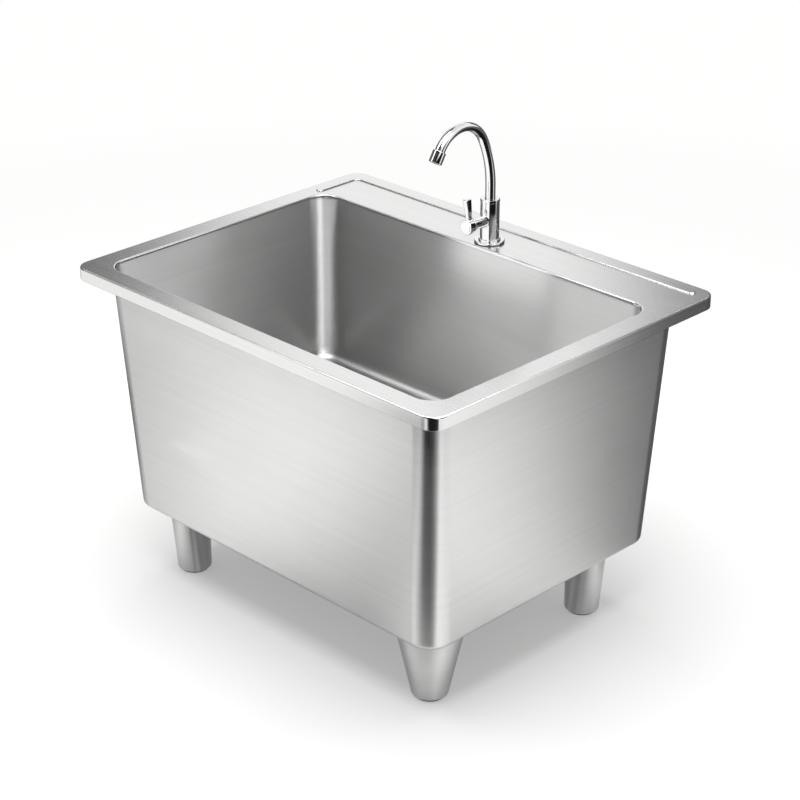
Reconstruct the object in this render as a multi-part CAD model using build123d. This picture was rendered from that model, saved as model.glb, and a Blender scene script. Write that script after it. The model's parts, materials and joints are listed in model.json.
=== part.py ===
from build123d import *
import math
import os

# Everything is in millimetres, with the floor at z = 0, the front at -Y and the tap deck at the back.

# Rim and deck
RIM_LENGTH = 760.0
RIM_DEPTH = 600.0
RIM_TOP = 525.0
RIM_CORNER_RADIUS = 24.0
RIM_SHEET = 1.5
RIM_EDGE_RADIUS = 2.5
APRON_HEIGHT = 20.0
APRON_RETURN = 12.0
APRON_FOOT_RADIUS = 1.0

# Opening in the rim, measured from the rim's outer edge to the lip
OPENING_SIDE_LAND = 36.0
OPENING_FRONT_LAND = 35.0
DECK_WIDTH = 112.0
OPENING_CORNER_RADIUS = 32.0
LIP_DEPTH = 4.5
LIP_ROLL_RADIUS = 2.5

# Pressed bead on the deck
BEAD_WIDTH = 13.0
BEAD_HEIGHT = 2.0
BEAD_EDGE_RADIUS = 1.8
BEAD_INSET = 25.0
BEAD_BEND_RADIUS = 15.0
BEAD_RIGHT_MARGIN = 23.5
BEAD_LEFT_ARM = 85.0

# Bowl
BOWL_SHEET = 1.2
BOWL_DEPTH = 285.0
BOWL_COVE_RADIUS = 20.0
BOWL_FOOT_CORNER_RADIUS = 34.0
COLLAR_BELOW_LIP = 2.0
WALL_TAPER = 0.05

# Outer casing
CASING_SHEET = 1.2
CASING_LIP_GAP = 1.8
CASING_BACK_INSET = 42.0
CASING_EDGE_RADIUS = 9.0
CASING_FLANGE = 45.0
CASING_BACK_FLANGE = 25.0
GROUND_CLEARANCE = 120.0

# Legs
LEG_FOOT_RADIUS = 27.0
LEG_TOP_HALF_WIDTH = 52.0
LEG_TOP_OUTWARD = 36.0
LEG_SHEET = 1.5
LEG_TOP_PLATE = 3.0
LEG_FOOT_EDGE_RADIUS = 5.0
LEG_SIDE_INSET = 65.0
LEG_FRONT_INSET = 66.0
LEG_BACK_INSET = 82.0
LEG_FOOT_HOLE_RADIUS = 9.0
CORNER_PLATE_THICKNESS = 3.0
CORNER_PLATE_MARGIN = 14.0
CORNER_PLATE_REACH = 129.0
CORNER_COVER = 12.0

# Leg bolts
BOLT_RADIUS = 4.0
BOLT_HOLE_CLEARANCE = 0.5
BOLT_OFFSET = 32.0
BOLT_HEAD_ACROSS_FLATS = 13.0
BOLT_HEAD_HEIGHT = 5.3
BOLT_TAIL = 5.0
NUT_HEIGHT = 6.5
THREAD_CLEARANCE = 0.05

# Levelling feet
PAD_THICKNESS = 3.0
PAD_EDGE_RADIUS = 0.6
STUD_RADIUS = 6.0
STUD_LENGTH = 70.0
STUD_BASE_RADIUS = 12.0
STUD_BASE_THICKNESS = 1.5
BUSH_PLATE_MARGIN = 1.0
BUSH_PLATE_THICKNESS = 4.0
BUSH_BOSS_WALL = 5.0
BUSH_LENGTH = 22.0

# Waste fitting
DRAIN_CUP_RADIUS = 44.0
DRAIN_CUP_WALL = 3.0
DRAIN_LEDGE_WIDTH = 2.5
DRAIN_CUP_DEPTH = 52.0
DRAIN_CUP_COVE = 5.0
DRAIN_FLOOR_THICKNESS = 2.0
DRAIN_FLANGE_WIDTH = 13.0
DRAIN_FLANGE_THICKNESS = 2.0
DRAIN_FLANGE_EDGE_RADIUS = 1.2
DRAIN_HOLE_CLEARANCE = 1.0
RECESS_CLEARANCE = 2.0
RECESS_DEPTH = 3.0
LEDGE_DROP = 7.0
SPIGOT_STEP = 2.0
SPIGOT_WALL = 4.0
SPIGOT_LENGTH = 25.0
DRAIN_SEAL_THICKNESS = 3.0
LOCKNUT_WIDTH = 10.0
LOCKNUT_HEIGHT = 10.0
LOCKNUT_NOTCHES = 8
LOCKNUT_NOTCH_RADIUS = 5.0
TAILPIECE_RADIUS = 20.0
TAILPIECE_WALL = 1.5
TAILPIECE_LENGTH = 50.0
TAILPIECE_FLANGE_THICKNESS = 2.0
TAILPIECE_FREE_LENGTH = 40.0
TAILPIECE_GROOVE_WIDTH = 2.0
TAILPIECE_GROOVE_DEPTH = 0.5
TAIL_WASHER_THICKNESS = 2.0
SLIP_NUT_WALL = 6.0
SLIP_NUT_GRIP = 12.0
SLIP_NUT_LIP = 3.0
SLIP_NUT_CLEARANCE = 0.4
SLIP_NUT_RIBS = 12
SLIP_NUT_RIB_RADIUS = 1.6

# Strainer basket
BASKET_SHEET = 1.0
BASKET_RIM_THICKNESS = 1.5
BASKET_SIDE_CLEARANCE = 0.8
BASKET_DEPTH = 32.0
BASKET_EDGE_RADIUS = 4.0
BASKET_HOLE_RADIUS = 1.8
BASKET_RING_INSETS = (6.7, 11.2)
BASKET_RING_HOLES = (24, 18)
BASKET_WALL_HOLES = 18
BASKET_WALL_ROWS = (10.0, 19.0)
STOPPER_COVER = 4.5
STOPPER_THICKNESS = 5.0
STOPPER_BEVEL = 2.0
STOPPER_NUT_HEIGHT = 2.0
STOPPER_NUT_RADIUS = 6.0
POST_RADIUS = 2.5
KNOB_RADIUS = 9.0
KNOB_HEIGHT = 9.0
KNOB_TOP_RADIUS = 4.0
KNOB_FOOT_RADIUS = 2.5
KNOB_LIFT = 26.0

# Tap: heights above the deck and radii about the tap's axis
TAP_SETBACK = 29.0
TAP_HOLE_RADIUS = 12.5
BACKING_LENGTH = 130.0
BACKING_GAP = 1.0
BACKING_CORNER_RADIUS = 4.0
BACKING_THICKNESS = 2.5
TAP_SEAL_INSET = 1.75
TAP_SEAL_THICKNESS = 1.0
FLANGE_RADIUS = 23.75
FLANGE_THICKNESS = 3.2
FLANGE_STEP_RADIUS = 17.4
FLANGE_STEP_HEIGHT = 3.3
FLANGE_EDGE_RADIUS = 1.3
SHANK_RADIUS = 20.955 / 2
SHANK_BORE = 6.5
SHANK_LENGTH_BELOW = 52.0
SHANK_ENGAGEMENT = 14.0
SHANK_END_GAP = 0.5
INLET_THREAD_LENGTH = 16.0
THREAD_RELIEF_WIDTH = 2.0
THREAD_RELIEF_DEPTH = 1.0
TAP_WASHER_RADIUS = 18.0
TAP_WASHER_CLEARANCE = 0.15
RUBBER_WASHER_THICKNESS = 3.0
STEEL_WASHER_THICKNESS = 1.5
TAP_NUT_ACROSS_FLATS = 28.0
TAP_NUT_HEIGHT = 8.5
TAP_BODY_RADIUS = 15.0
PORT_RADIUS = 4.0
INLET_OFFSET = 6.0

# Tap branch and valve: distances from the tap's axis towards the front
BRANCH_HEIGHT = 37.5
BRANCH_BORE = 6.8
BRANCH_WALL = 1.8
BRANCH_END = 38.0
BRANCH_BLEND = 3.5
SEAT_DISTANCE = -1.0
SEAT_SEAL_THICKNESS = 2.0
DISC_CLEARANCE = 0.15
DISC_THICKNESS = 2.5
DISC_PORT_RADIUS = 1.6
DISC_PORT_OFFSET = 2.9
CARTRIDGE_CLEARANCE = 0.05
CARTRIDGE_WALL = 1.0
CARTRIDGE_END_GAP = 0.2
CARTRIDGE_WINDOW = 4.0
SPINDLE_RADIUS = 3.0
SPINDLE_DOG_CLEARANCE = 0.25
SPINDLE_DOG_LENGTH = 3.0
SPINDLE_REACH = 6.9
BONNET_RADIUS = 9.8
BONNET_LENGTH = 4.5
BONNET_GROOVE = 1.2
BONNET_GROOVE_DEPTH = 0.7

# Lever handle
HANDLE_GAP = 0.6
HUB_RADIUS = 12.2
HUB_LENGTH = 12.4
HUB_EDGE_RADIUS = 1.6
CAP_RIM = 2.6
CAP_DEPTH = 1.6
CAP_DOME = 0.7
CAP_CLEARANCE = 0.03
SCREW_RADIUS = 1.6
SCREW_HEAD_RADIUS = 3.2
SCREW_HEAD_HEIGHT = 1.8
SCREW_HEAD_GAP = 0.3
SCREW_LENGTH = 7.0
LEVER_LENGTH = 46.0
LEVER_LEAN = 5.5
LEVER_CURVE = 1.6
LEVER_WAIST = 0.45
LEVER_ROOT_SETBACK = 0.3
LEVER_ROOT_WIDTH = 6.5
LEVER_ROOT_DEPTH = 8.0
LEVER_TIP_WIDTH = 9.5
LEVER_TIP_DEPTH = 13.0
LEVER_CORNER_RADIUS = 2.4
LEVER_TIP_RADIUS = 2.0

# Swan-neck spout
SPOUT_RADIUS = 8.0
SPOUT_WALL = 1.4
SPOUT_STRAIGHT = 20.0
SPOUT_LOW_BEND_RADIUS = 175.0
SPOUT_LOW_BEND_ANGLE = 27.0
SPOUT_TOP_BEND_RADIUS = 54.0
SPOUT_TOTAL_ANGLE = 148.0
SPOUT_TIP_LENGTH = 9.0
TAIL_STEP = 1.2
TAIL_CLEARANCE = 0.1
TAIL_LENGTH = 9.0
TAIL_LIFT = 0.5
TAIL_GROOVE_WIDTH = 2.2
TAIL_GROOVE_PITCH = 4.2
ORING_THICKNESS = 1.9
SOCKET_FLOOR_WALL = 2.7
COUNTERBORE_WALL = 2.45
BUSH_HEIGHT = 4.0
BUSH_SIDE_CLEARANCE = 0.1
COLLAR_ENGAGEMENT = 6.0
COLLAR_RADIUS = 15.4
COLLAR_HEIGHT = 5.0
COLLAR_BORE_CLEARANCE = 0.4
COLLAR_EDGE_RADIUS = 1.2
COLLAR_FOOT_RADIUS = 0.5
RUNNING_CLEARANCE = 0.05

# Aerator: distances along the spout's end from the shell's shoulder
AERATOR_LENGTH = 19.0
AERATOR_GRIP = 8.0
AERATOR_STEP = 1.0
AERATOR_WALL = 1.5
AERATOR_EDGE_RADIUS = 0.8
AERATOR_WASHER_THICKNESS = 2.0
AERATOR_WASHER_WIDTH = 3.0
AERATOR_INSERT_LENGTH = 8.5
AERATOR_HOLE_RADIUS = 0.9
AERATOR_RINGS = ((0.0, 1), (3.0, 6), (6.0, 12))

# Rim, bowl and casing outlines that follow from the sizes above
DECK_UNDERSIDE = RIM_TOP - RIM_SHEET
OPENING_LENGTH = RIM_LENGTH - 2 * OPENING_SIDE_LAND
OPENING_FRONT = -RIM_DEPTH / 2 + OPENING_FRONT_LAND
OPENING_BACK = RIM_DEPTH / 2 - DECK_WIDTH
OPENING_DEPTH = OPENING_BACK - OPENING_FRONT
BOWL_CENTRE_Y = (OPENING_FRONT + OPENING_BACK) / 2
BOWL_FLOOR = RIM_TOP - BOWL_DEPTH
COLLAR_TOP = RIM_TOP - LIP_ROLL_RADIUS
COLLAR_FOOT = RIM_TOP - LIP_DEPTH - COLLAR_BELOW_LIP
CASING_REACH = LIP_ROLL_RADIUS + CASING_LIP_GAP + CASING_SHEET
CASING_LENGTH = OPENING_LENGTH + 2 * CASING_REACH
CASING_FRONT = OPENING_FRONT - CASING_REACH
CASING_BACK = RIM_DEPTH / 2 - CASING_BACK_INSET
CASING_DEPTH = CASING_BACK - CASING_FRONT
CASING_CENTRE_Y = (CASING_FRONT + CASING_BACK) / 2
CASING_CORNER_RADIUS = BOWL_FOOT_CORNER_RADIUS + CASING_REACH - RIM_SHEET
CASING_NARROWING = WALL_TAPER * (DECK_UNDERSIDE - GROUND_CLEARANCE)
BASE_HALF_LENGTH = CASING_LENGTH / 2 - CASING_NARROWING
BASE_FRONT = CASING_FRONT + CASING_NARROWING
BASE_BACK = CASING_BACK - CASING_NARROWING
FLANGE_TOP = GROUND_CLEARANCE + CASING_SHEET
CORNER_PLATE_TOP = FLANGE_TOP + CORNER_PLATE_THICKNESS

# Levelling foot
LEG_FLOOR = PAD_THICKNESS + LEG_SHEET
PAD_RADIUS = LEG_FOOT_RADIUS - LEG_FOOT_EDGE_RADIUS
BUSH_PLATE_RADIUS = PAD_RADIUS - BUSH_PLATE_MARGIN
BUSH_BOSS_RADIUS = STUD_RADIUS + BUSH_BOSS_WALL

# Waste fitting levels and radii
RECESS_TOP = BOWL_FLOOR - RECESS_DEPTH
RECESS_UNDERSIDE = RECESS_TOP - BOWL_SHEET
DRAIN_FLANGE_RADIUS = DRAIN_CUP_RADIUS + DRAIN_FLANGE_WIDTH
RECESS_RADIUS = DRAIN_FLANGE_RADIUS + RECESS_CLEARANCE
LEDGE_BORE = DRAIN_CUP_RADIUS - DRAIN_CUP_WALL
DRAIN_CUP_BORE = LEDGE_BORE - DRAIN_LEDGE_WIDTH
DRAIN_BOTTOM = RECESS_TOP - DRAIN_CUP_DEPTH
DRAIN_TOP = RECESS_TOP + DRAIN_FLANGE_THICKNESS
LEDGE_LEVEL = DRAIN_TOP - LEDGE_DROP
LOCKNUT_RADIUS = DRAIN_CUP_RADIUS + LOCKNUT_WIDTH
SPIGOT_RADIUS = TAILPIECE_RADIUS + SPIGOT_STEP
SPIGOT_BORE = SPIGOT_RADIUS - SPIGOT_WALL
SPIGOT_END = DRAIN_BOTTOM - SPIGOT_LENGTH
TAILPIECE_TOP = SPIGOT_END - TAIL_WASHER_THICKNESS
SLIP_NUT_RADIUS = SPIGOT_RADIUS + SLIP_NUT_WALL
BASKET_RADIUS = DRAIN_CUP_BORE - BASKET_SIDE_CLEARANCE
BASKET_FLOOR = LEDGE_LEVEL - BASKET_DEPTH
STOPPER_RADIUS = SPIGOT_BORE + STOPPER_COVER

# Tap levels and radii, with heights above the deck
TAP_Y = OPENING_BACK + TAP_SETBACK
BODY_FOOT = TAP_SEAL_THICKNESS + FLANGE_THICKNESS + FLANGE_STEP_HEIGHT
BRANCH_LEVEL = RIM_TOP + BRANCH_HEIGHT
BRANCH_RADIUS = BRANCH_BORE + BRANCH_WALL
TAIL_RADIUS = SPOUT_RADIUS + TAIL_STEP
SOCKET_BORE = TAIL_RADIUS + TAIL_CLEARANCE
SOCKET_FLOOR = BRANCH_HEIGHT + BRANCH_BORE + SOCKET_FLOOR_WALL
TAIL_FOOT = SOCKET_FLOOR + TAIL_LIFT
TAIL_TOP = TAIL_FOOT + TAIL_LENGTH
COUNTERBORE = TAP_BODY_RADIUS - COUNTERBORE_WALL
COUNTERBORE_FLOOR = TAIL_TOP + TAIL_LIFT
BUSH_TOP = COUNTERBORE_FLOOR + BUSH_HEIGHT
TAP_BODY_TOP = BUSH_TOP + COLLAR_ENGAGEMENT
COLLAR_END = TAP_BODY_TOP + COLLAR_HEIGHT
COLLAR_BORE = SPOUT_RADIUS + COLLAR_BORE_CLEARANCE
SPOUT_BEND_START = COLLAR_END + SPOUT_STRAIGHT
AERATOR_BORE = SPOUT_RADIUS + AERATOR_STEP
AERATOR_RADIUS = AERATOR_BORE + AERATOR_WALL

# Valve and handle, as distances from the tap's axis towards the front
CARTRIDGE_RADIUS = BRANCH_BORE - CARTRIDGE_CLEARANCE
CARTRIDGE_DISC_BORE = CARTRIDGE_RADIUS - CARTRIDGE_WALL
DISC_RADIUS = CARTRIDGE_DISC_BORE - DISC_CLEARANCE
SPINDLE_DOG_RADIUS = CARTRIDGE_DISC_BORE - SPINDLE_DOG_CLEARANCE
DISC_NEAR = SEAT_DISTANCE + SEAT_SEAL_THICKNESS
MOVING_NEAR = DISC_NEAR + DISC_THICKNESS
DOG_NEAR = MOVING_NEAR + DISC_THICKNESS
CARTRIDGE_STOP = DOG_NEAR + SPINDLE_DOG_LENGTH + CARTRIDGE_END_GAP
BONNET_END = BRANCH_END + BONNET_LENGTH
HUB_NEAR = BONNET_END + HANDLE_GAP
HUB_END = HUB_NEAR + HUB_LENGTH
SPINDLE_END = HUB_NEAR + SPINDLE_REACH
CAP_RADIUS = HUB_RADIUS - CAP_RIM
CAP_NEAR = HUB_END - CAP_DEPTH
SCREW_HEAD_NEAR = CAP_NEAR - SCREW_HEAD_HEIGHT - SCREW_HEAD_GAP


def rounded(length, depth, radius, centre_y, z):
    """Rounded rectangle face in a level plane."""
    return Pos(0, centre_y, z) * RectangleRounded(length, depth, radius)


def slab(length, depth, radius, centre_y, low, high):
    """Upright block with rounded corners."""
    return extrude(rounded(length, depth, radius, centre_y, low), high - low)


def tapered_block(length, depth, foot_radius, top_radius, centre_y, low, high):
    """Block whose walls draw in downwards, given by its top's size and its two corner radii."""
    narrowing = 2 * WALL_TAPER * (high - low)
    foot = rounded(length - narrowing, depth - narrowing, foot_radius, centre_y, low)
    return loft([foot, rounded(length, depth, top_radius, centre_y, high)], ruled=True)


def level_edges(shape, z):
    """Edges of a shape that lie in the plane at height z."""
    return shape.edges().filter_by_position(Axis.Z, z - 0.001, z + 0.001)


def disc(x, y, low, high, radius):
    """Upright round bar between two heights."""
    return Pos(x, y, low) * Cylinder(radius, high - low, align=(Align.CENTER, Align.CENTER, Align.MIN))


def hexagon(x, y, low, high, across_flats, bore):
    """Upright hexagonal nut or bolt head between two heights."""
    outline = Pos(x, y, low) * RegularPolygon(across_flats / 2, 6, major_radius=False)
    blank = extrude(outline, high - low)
    return blank - disc(x, y, low, high, bore) if bore else blank


def bar_forward(near, far, radius, height=BRANCH_LEVEL):
    """Round bar on the branch's axis, between two distances in front of the tap's axis."""
    plane = Plane(origin=(0, TAP_Y - near, height), x_dir=(1, 0, 0), z_dir=(0, -1, 0))
    return extrude(plane * Circle(radius), far - near)


# Rim, deck, bowl and casing
def make_bead(width, height, edge_radius, top):
    """Raised L-shaped bead with round ends, its top at the given height."""
    right = RIM_LENGTH / 2 - BEAD_RIGHT_MARGIN - BEAD_WIDTH / 2
    left = -RIM_LENGTH / 2 + BEAD_INSET
    back = RIM_DEPTH / 2 - BEAD_INSET
    corners = (right, back), (left, back), (left, back - BEAD_LEFT_ARM)
    path = FilletPolyline(*corners, radius=BEAD_BEND_RADIUS)
    outline = make_face(offset(path, amount=width / 2, side=Side.BOTH).edges())
    bead = extrude(Pos(0, 0, top - height) * outline, height)
    return fillet(level_edges(bead, top), edge_radius) if edge_radius else bead


def make_rim():
    """Top sheet with apron, return, rolled lip, bead and tap hole."""
    low = RIM_TOP - APRON_HEIGHT
    outer = slab(RIM_LENGTH, RIM_DEPTH, RIM_CORNER_RADIUS, 0, low, RIM_TOP)
    outer = fillet(level_edges(outer, RIM_TOP), RIM_EDGE_RADIUS)
    outer = fillet(level_edges(outer, low), APRON_FOOT_RADIUS)
    inside = 2 * RIM_SHEET
    hollow = slab(RIM_LENGTH - inside, RIM_DEPTH - inside, RIM_CORNER_RADIUS - RIM_SHEET, 0,
                  low + RIM_SHEET, DECK_UNDERSIDE)
    hollow = fillet(level_edges(hollow, DECK_UNDERSIDE), RIM_EDGE_RADIUS - RIM_SHEET)
    turned_in = 2 * APRON_RETURN
    mouth = slab(RIM_LENGTH - turned_in, RIM_DEPTH - turned_in, RIM_CORNER_RADIUS - APRON_RETURN, 0,
                 low, low + 2 * RIM_SHEET)
    lip_foot = RIM_TOP - LIP_DEPTH
    lip_back = slab(OPENING_LENGTH + inside, OPENING_DEPTH + inside, OPENING_CORNER_RADIUS + RIM_SHEET,
                    BOWL_CENTRE_Y, lip_foot, DECK_UNDERSIDE + RIM_SHEET / 2)
    opening = slab(OPENING_LENGTH, OPENING_DEPTH, OPENING_CORNER_RADIUS, BOWL_CENTRE_Y,
                   lip_foot - 1, RIM_TOP + 1)
    sheet = outer - hollow - mouth
    sheet = sheet + make_bead(BEAD_WIDTH, BEAD_HEIGHT, BEAD_EDGE_RADIUS, RIM_TOP + BEAD_HEIGHT)
    sheet = sheet - make_bead(BEAD_WIDTH - 2 * RIM_SHEET, BEAD_HEIGHT, 0, DECK_UNDERSIDE + BEAD_HEIGHT)
    sheet = sheet + lip_back
    inner_bend = [e for e in level_edges(sheet, DECK_UNDERSIDE) if is_lip_edge(e)]
    sheet = fillet(inner_bend, LIP_ROLL_RADIUS - RIM_SHEET)
    sheet = sheet - opening
    lip_top = [e for e in level_edges(sheet, RIM_TOP) if is_opening_edge(e)]
    sheet = fillet(lip_top, LIP_ROLL_RADIUS)
    return sheet - disc(0, TAP_Y, DECK_UNDERSIDE - 1, RIM_TOP + 1, TAP_HOLE_RADIUS)


def inside_opening(edge, margin):
    """Whether an edge's middle lies within the opening's outline widened by a margin."""
    middle = edge.center()
    across = abs(middle.X) <= OPENING_LENGTH / 2 + margin
    return across and OPENING_FRONT - margin <= middle.Y <= OPENING_BACK + margin


def is_lip_edge(edge):
    """Whether an edge belongs to the lip's back face."""
    return inside_opening(edge, RIM_SHEET + 0.01)


def is_opening_edge(edge):
    """Whether an edge belongs to the opening's own outline."""
    return inside_opening(edge, 0.01)


def make_bowl():
    """Deep bowl with a straight collar behind the lip, coved floor and drain recess."""
    lap = 2 * RIM_SHEET
    radius = OPENING_CORNER_RADIUS + RIM_SHEET
    length, depth = OPENING_LENGTH + lap, OPENING_DEPTH + lap
    skin = 2 * BOWL_SHEET
    shapes = []
    for grow in (skin, 0):
        low = BOWL_FLOOR - grow / 2
        top = COLLAR_TOP if grow else COLLAR_TOP + 1
        plan = length + grow, depth + grow
        top_radius = radius + grow / 2
        block = tapered_block(*plan, BOWL_FOOT_CORNER_RADIUS + grow / 2, top_radius, BOWL_CENTRE_Y,
                              low, COLLAR_FOOT)
        block = fillet(level_edges(block, low), BOWL_COVE_RADIUS + grow / 2)
        shapes.append(block + slab(*plan, top_radius, BOWL_CENTRE_Y, COLLAR_FOOT, top))
    outer, inner = shapes
    centre = (0, BOWL_CENTRE_Y)
    outer = outer + disc(*centre, RECESS_UNDERSIDE, BOWL_FLOOR, RECESS_RADIUS + BOWL_SHEET)
    bowl = outer - inner - disc(*centre, RECESS_TOP, BOWL_FLOOR + 1, RECESS_RADIUS)
    hole = DRAIN_CUP_RADIUS + DRAIN_HOLE_CLEARANCE
    return bowl - disc(*centre, RECESS_UNDERSIDE - 1, RECESS_TOP + 1, hole)


def corner_sum(front):
    """Distance sum from the two base edges to the flange's corner chamfer, clear of the leg top."""
    inset = LEG_FRONT_INSET if front else LEG_BACK_INSET
    return LEG_SIDE_INSET + inset + math.sqrt(2) * (LEG_FOOT_RADIUS + CORNER_COVER)


def make_casing():
    """Tapered outer shell, open at the top, with an in-turned flange that carries the legs."""
    shapes = []
    for shrink in (0, CASING_SHEET):
        low = GROUND_CLEARANCE + shrink
        radius = CASING_CORNER_RADIUS - shrink
        block = tapered_block(CASING_LENGTH - 2 * shrink, CASING_DEPTH - 2 * shrink, radius, radius,
                              CASING_CENTRE_Y, low, DECK_UNDERSIDE)
        shapes.append(fillet(level_edges(block, low), CASING_EDGE_RADIUS - shrink))
    outer, inner = shapes
    return outer - inner - casing_mouth() - bolt_holes(LEGS.values(), GROUND_CLEARANCE, FLANGE_TOP)


def casing_mouth():
    """Eight-sided opening inside the casing's bottom flange."""
    points = []
    for side, front in ((1, True), (1, False), (-1, False), (-1, True)):
        total = corner_sum(front)
        edge, inward = (BASE_FRONT, 1) if front else (BASE_BACK, -1)
        width = CASING_FLANGE if front else CASING_BACK_FLANGE
        on_side = side * (BASE_HALF_LENGTH - CASING_FLANGE), edge + inward * (total - CASING_FLANGE)
        on_end = side * (BASE_HALF_LENGTH - total + width), edge + inward * width
        points += [on_side, on_end] if (side > 0) != front else [on_end, on_side]
    outline = Pos(0, 0, GROUND_CLEARANCE - 1) * make_face(Polyline(*points, close=True))
    return extrude(outline, CASING_SHEET + 2, dir=(0, 0, 1))


def make_backing_plate():
    """Flat plate that stiffens the deck under the tap."""
    front = OPENING_BACK + LIP_ROLL_RADIUS + BACKING_GAP
    back = CASING_BACK - CASING_SHEET - BACKING_GAP
    low = DECK_UNDERSIDE - BACKING_THICKNESS
    plate = slab(BACKING_LENGTH, back - front, BACKING_CORNER_RADIUS, (front + back) / 2, low,
                 DECK_UNDERSIDE)
    return plate - disc(0, TAP_Y, low - 1, DECK_UNDERSIDE + 1, TAP_HOLE_RADIUS)


# Legs and levelling feet
def leg_spot(side, front):
    """Centre of a leg's foot and the outward direction along its corner's diagonal."""
    x = side * (BASE_HALF_LENGTH - LEG_SIDE_INSET)
    y = BASE_FRONT + LEG_FRONT_INSET if front else BASE_BACK - LEG_BACK_INSET
    angle = math.degrees(math.atan2(-1 if front else 1, side))
    return x, y, angle


LEGS = {
    "front_left": leg_spot(-1, True),
    "front_right": leg_spot(1, True),
    "back_left": leg_spot(-1, False),
    "back_right": leg_spot(1, False),
}


def bolt_points(leg):
    """Two bolt centres of a leg, across its corner's diagonal."""
    x, y, angle = leg
    turn = math.radians(angle)
    outward = (LEG_TOP_OUTWARD - LEG_FOOT_RADIUS) / 2
    mid_x = x + outward * math.cos(turn)
    mid_y = y + outward * math.sin(turn)
    shift_x, shift_y = -BOLT_OFFSET * math.sin(turn), BOLT_OFFSET * math.cos(turn)
    return [(mid_x + k * shift_x, mid_y + k * shift_y) for k in (-1, 1)]


def bolt_holes(legs, low, high):
    """Clearance holes for the bolts of some legs, through everything between two heights."""
    radius = BOLT_RADIUS + BOLT_HOLE_CLEARANCE
    return [disc(x, y, low - 1, high + 1, radius) for leg in legs for x, y in bolt_points(leg)]


def leg_cone(low, high, foot_radius, shrink):
    """Solid cone from a round foot to an oval top, in the leg's own frame with +X outward."""
    half_depth = (LEG_TOP_OUTWARD + LEG_FOOT_RADIUS) / 2
    shift = (LEG_TOP_OUTWARD - LEG_FOOT_RADIUS) / 2
    top = Pos(shift, 0, high) * Ellipse(half_depth - shrink, LEG_TOP_HALF_WIDTH - shrink)
    return loft([Pos(0, 0, low) * Circle(foot_radius), top], ruled=True)


def make_leg(leg):
    """Formed leg shell with its welded top plate and the hole for the levelling stud."""
    x, y, angle = leg
    outer = leg_cone(PAD_THICKNESS, GROUND_CLEARANCE, LEG_FOOT_RADIUS, 0)
    outer = fillet(level_edges(outer, PAD_THICKNESS), LEG_FOOT_EDGE_RADIUS)
    inner = leg_cone(LEG_FLOOR, GROUND_CLEARANCE, LEG_FOOT_RADIUS - LEG_SHEET, LEG_SHEET)
    inner = fillet(level_edges(inner, LEG_FLOOR), LEG_FOOT_EDGE_RADIUS - LEG_SHEET)
    plate_low = GROUND_CLEARANCE - LEG_TOP_PLATE
    inner -= disc(0, 0, plate_low, GROUND_CLEARANCE + 1, 2 * LEG_TOP_HALF_WIDTH)
    shell = outer - inner - disc(0, 0, 0, LEG_FLOOR + 1, LEG_FOOT_HOLE_RADIUS)
    return Pos(x, y, 0) * Rot(0, 0, angle) * shell - bolt_holes([leg], plate_low, GROUND_CLEARANCE)


def make_corner_plate(leg, name):
    """Flat plate on the flange that spreads a leg's load, cut back like the flange's own corner."""
    front = name.startswith("front")
    side = -1 if name.endswith("left") else 1
    reach = corner_sum(front) - CORNER_PLATE_REACH
    start = CORNER_PLATE_MARGIN
    corner = [(start, start), (CORNER_PLATE_REACH, start), (CORNER_PLATE_REACH, reach),
              (reach, CORNER_PLATE_REACH), (start, CORNER_PLATE_REACH)]
    edge_y = BASE_FRONT if front else BASE_BACK
    inward = 1 if front else -1
    points = [(side * (BASE_HALF_LENGTH - a), edge_y + inward * b) for a, b in corner]
    outline = make_face(Polyline(*points, close=True))
    nearest = outline.vertices().sort_by_distance((side * BASE_HALF_LENGTH, edge_y, 0))[0]
    outline = fillet(nearest, CASING_CORNER_RADIUS - CORNER_PLATE_MARGIN)
    plate = extrude(Pos(0, 0, FLANGE_TOP) * outline, CORNER_PLATE_THICKNESS, dir=(0, 0, 1))
    return plate - bolt_holes([leg], FLANGE_TOP, CORNER_PLATE_TOP)


def make_leg_bolts():
    """All leg bolts, heads inside the casing."""
    head_top = CORNER_PLATE_TOP + BOLT_HEAD_HEIGHT
    tail = GROUND_CLEARANCE - LEG_TOP_PLATE - NUT_HEIGHT - BOLT_TAIL
    bolts = []
    for leg in LEGS.values():
        for x, y in bolt_points(leg):
            head = hexagon(x, y, CORNER_PLATE_TOP, head_top, BOLT_HEAD_ACROSS_FLATS, 0)
            bolts.append(head + disc(x, y, tail, CORNER_PLATE_TOP, BOLT_RADIUS))
    return Compound(bolts)


def make_leg_nuts():
    """Weld nuts under the legs' top plates."""
    high = GROUND_CLEARANCE - LEG_TOP_PLATE
    return Compound([
        hexagon(x, y, high - NUT_HEIGHT, high, BOLT_HEAD_ACROSS_FLATS, BOLT_RADIUS + THREAD_CLEARANCE)
        for leg in LEGS.values() for x, y in bolt_points(leg)
    ])


def make_foot_bush(leg):
    """Threaded bush on the leg's floor."""
    x, y, _ = leg
    high = LEG_FLOOR + BUSH_LENGTH
    bush = disc(x, y, LEG_FLOOR, LEG_FLOOR + BUSH_PLATE_THICKNESS, BUSH_PLATE_RADIUS)
    bush += disc(x, y, LEG_FLOOR, high, BUSH_BOSS_RADIUS)
    return bush - disc(x, y, LEG_FLOOR - 1, high + 1, STUD_RADIUS + THREAD_CLEARANCE)


def make_foot_stud(leg):
    """Levelling stud with its round base."""
    x, y, _ = leg
    low = PAD_THICKNESS - STUD_BASE_THICKNESS
    base = disc(x, y, low, PAD_THICKNESS, STUD_BASE_RADIUS)
    return base + disc(x, y, low, low + STUD_LENGTH, STUD_RADIUS)


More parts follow.
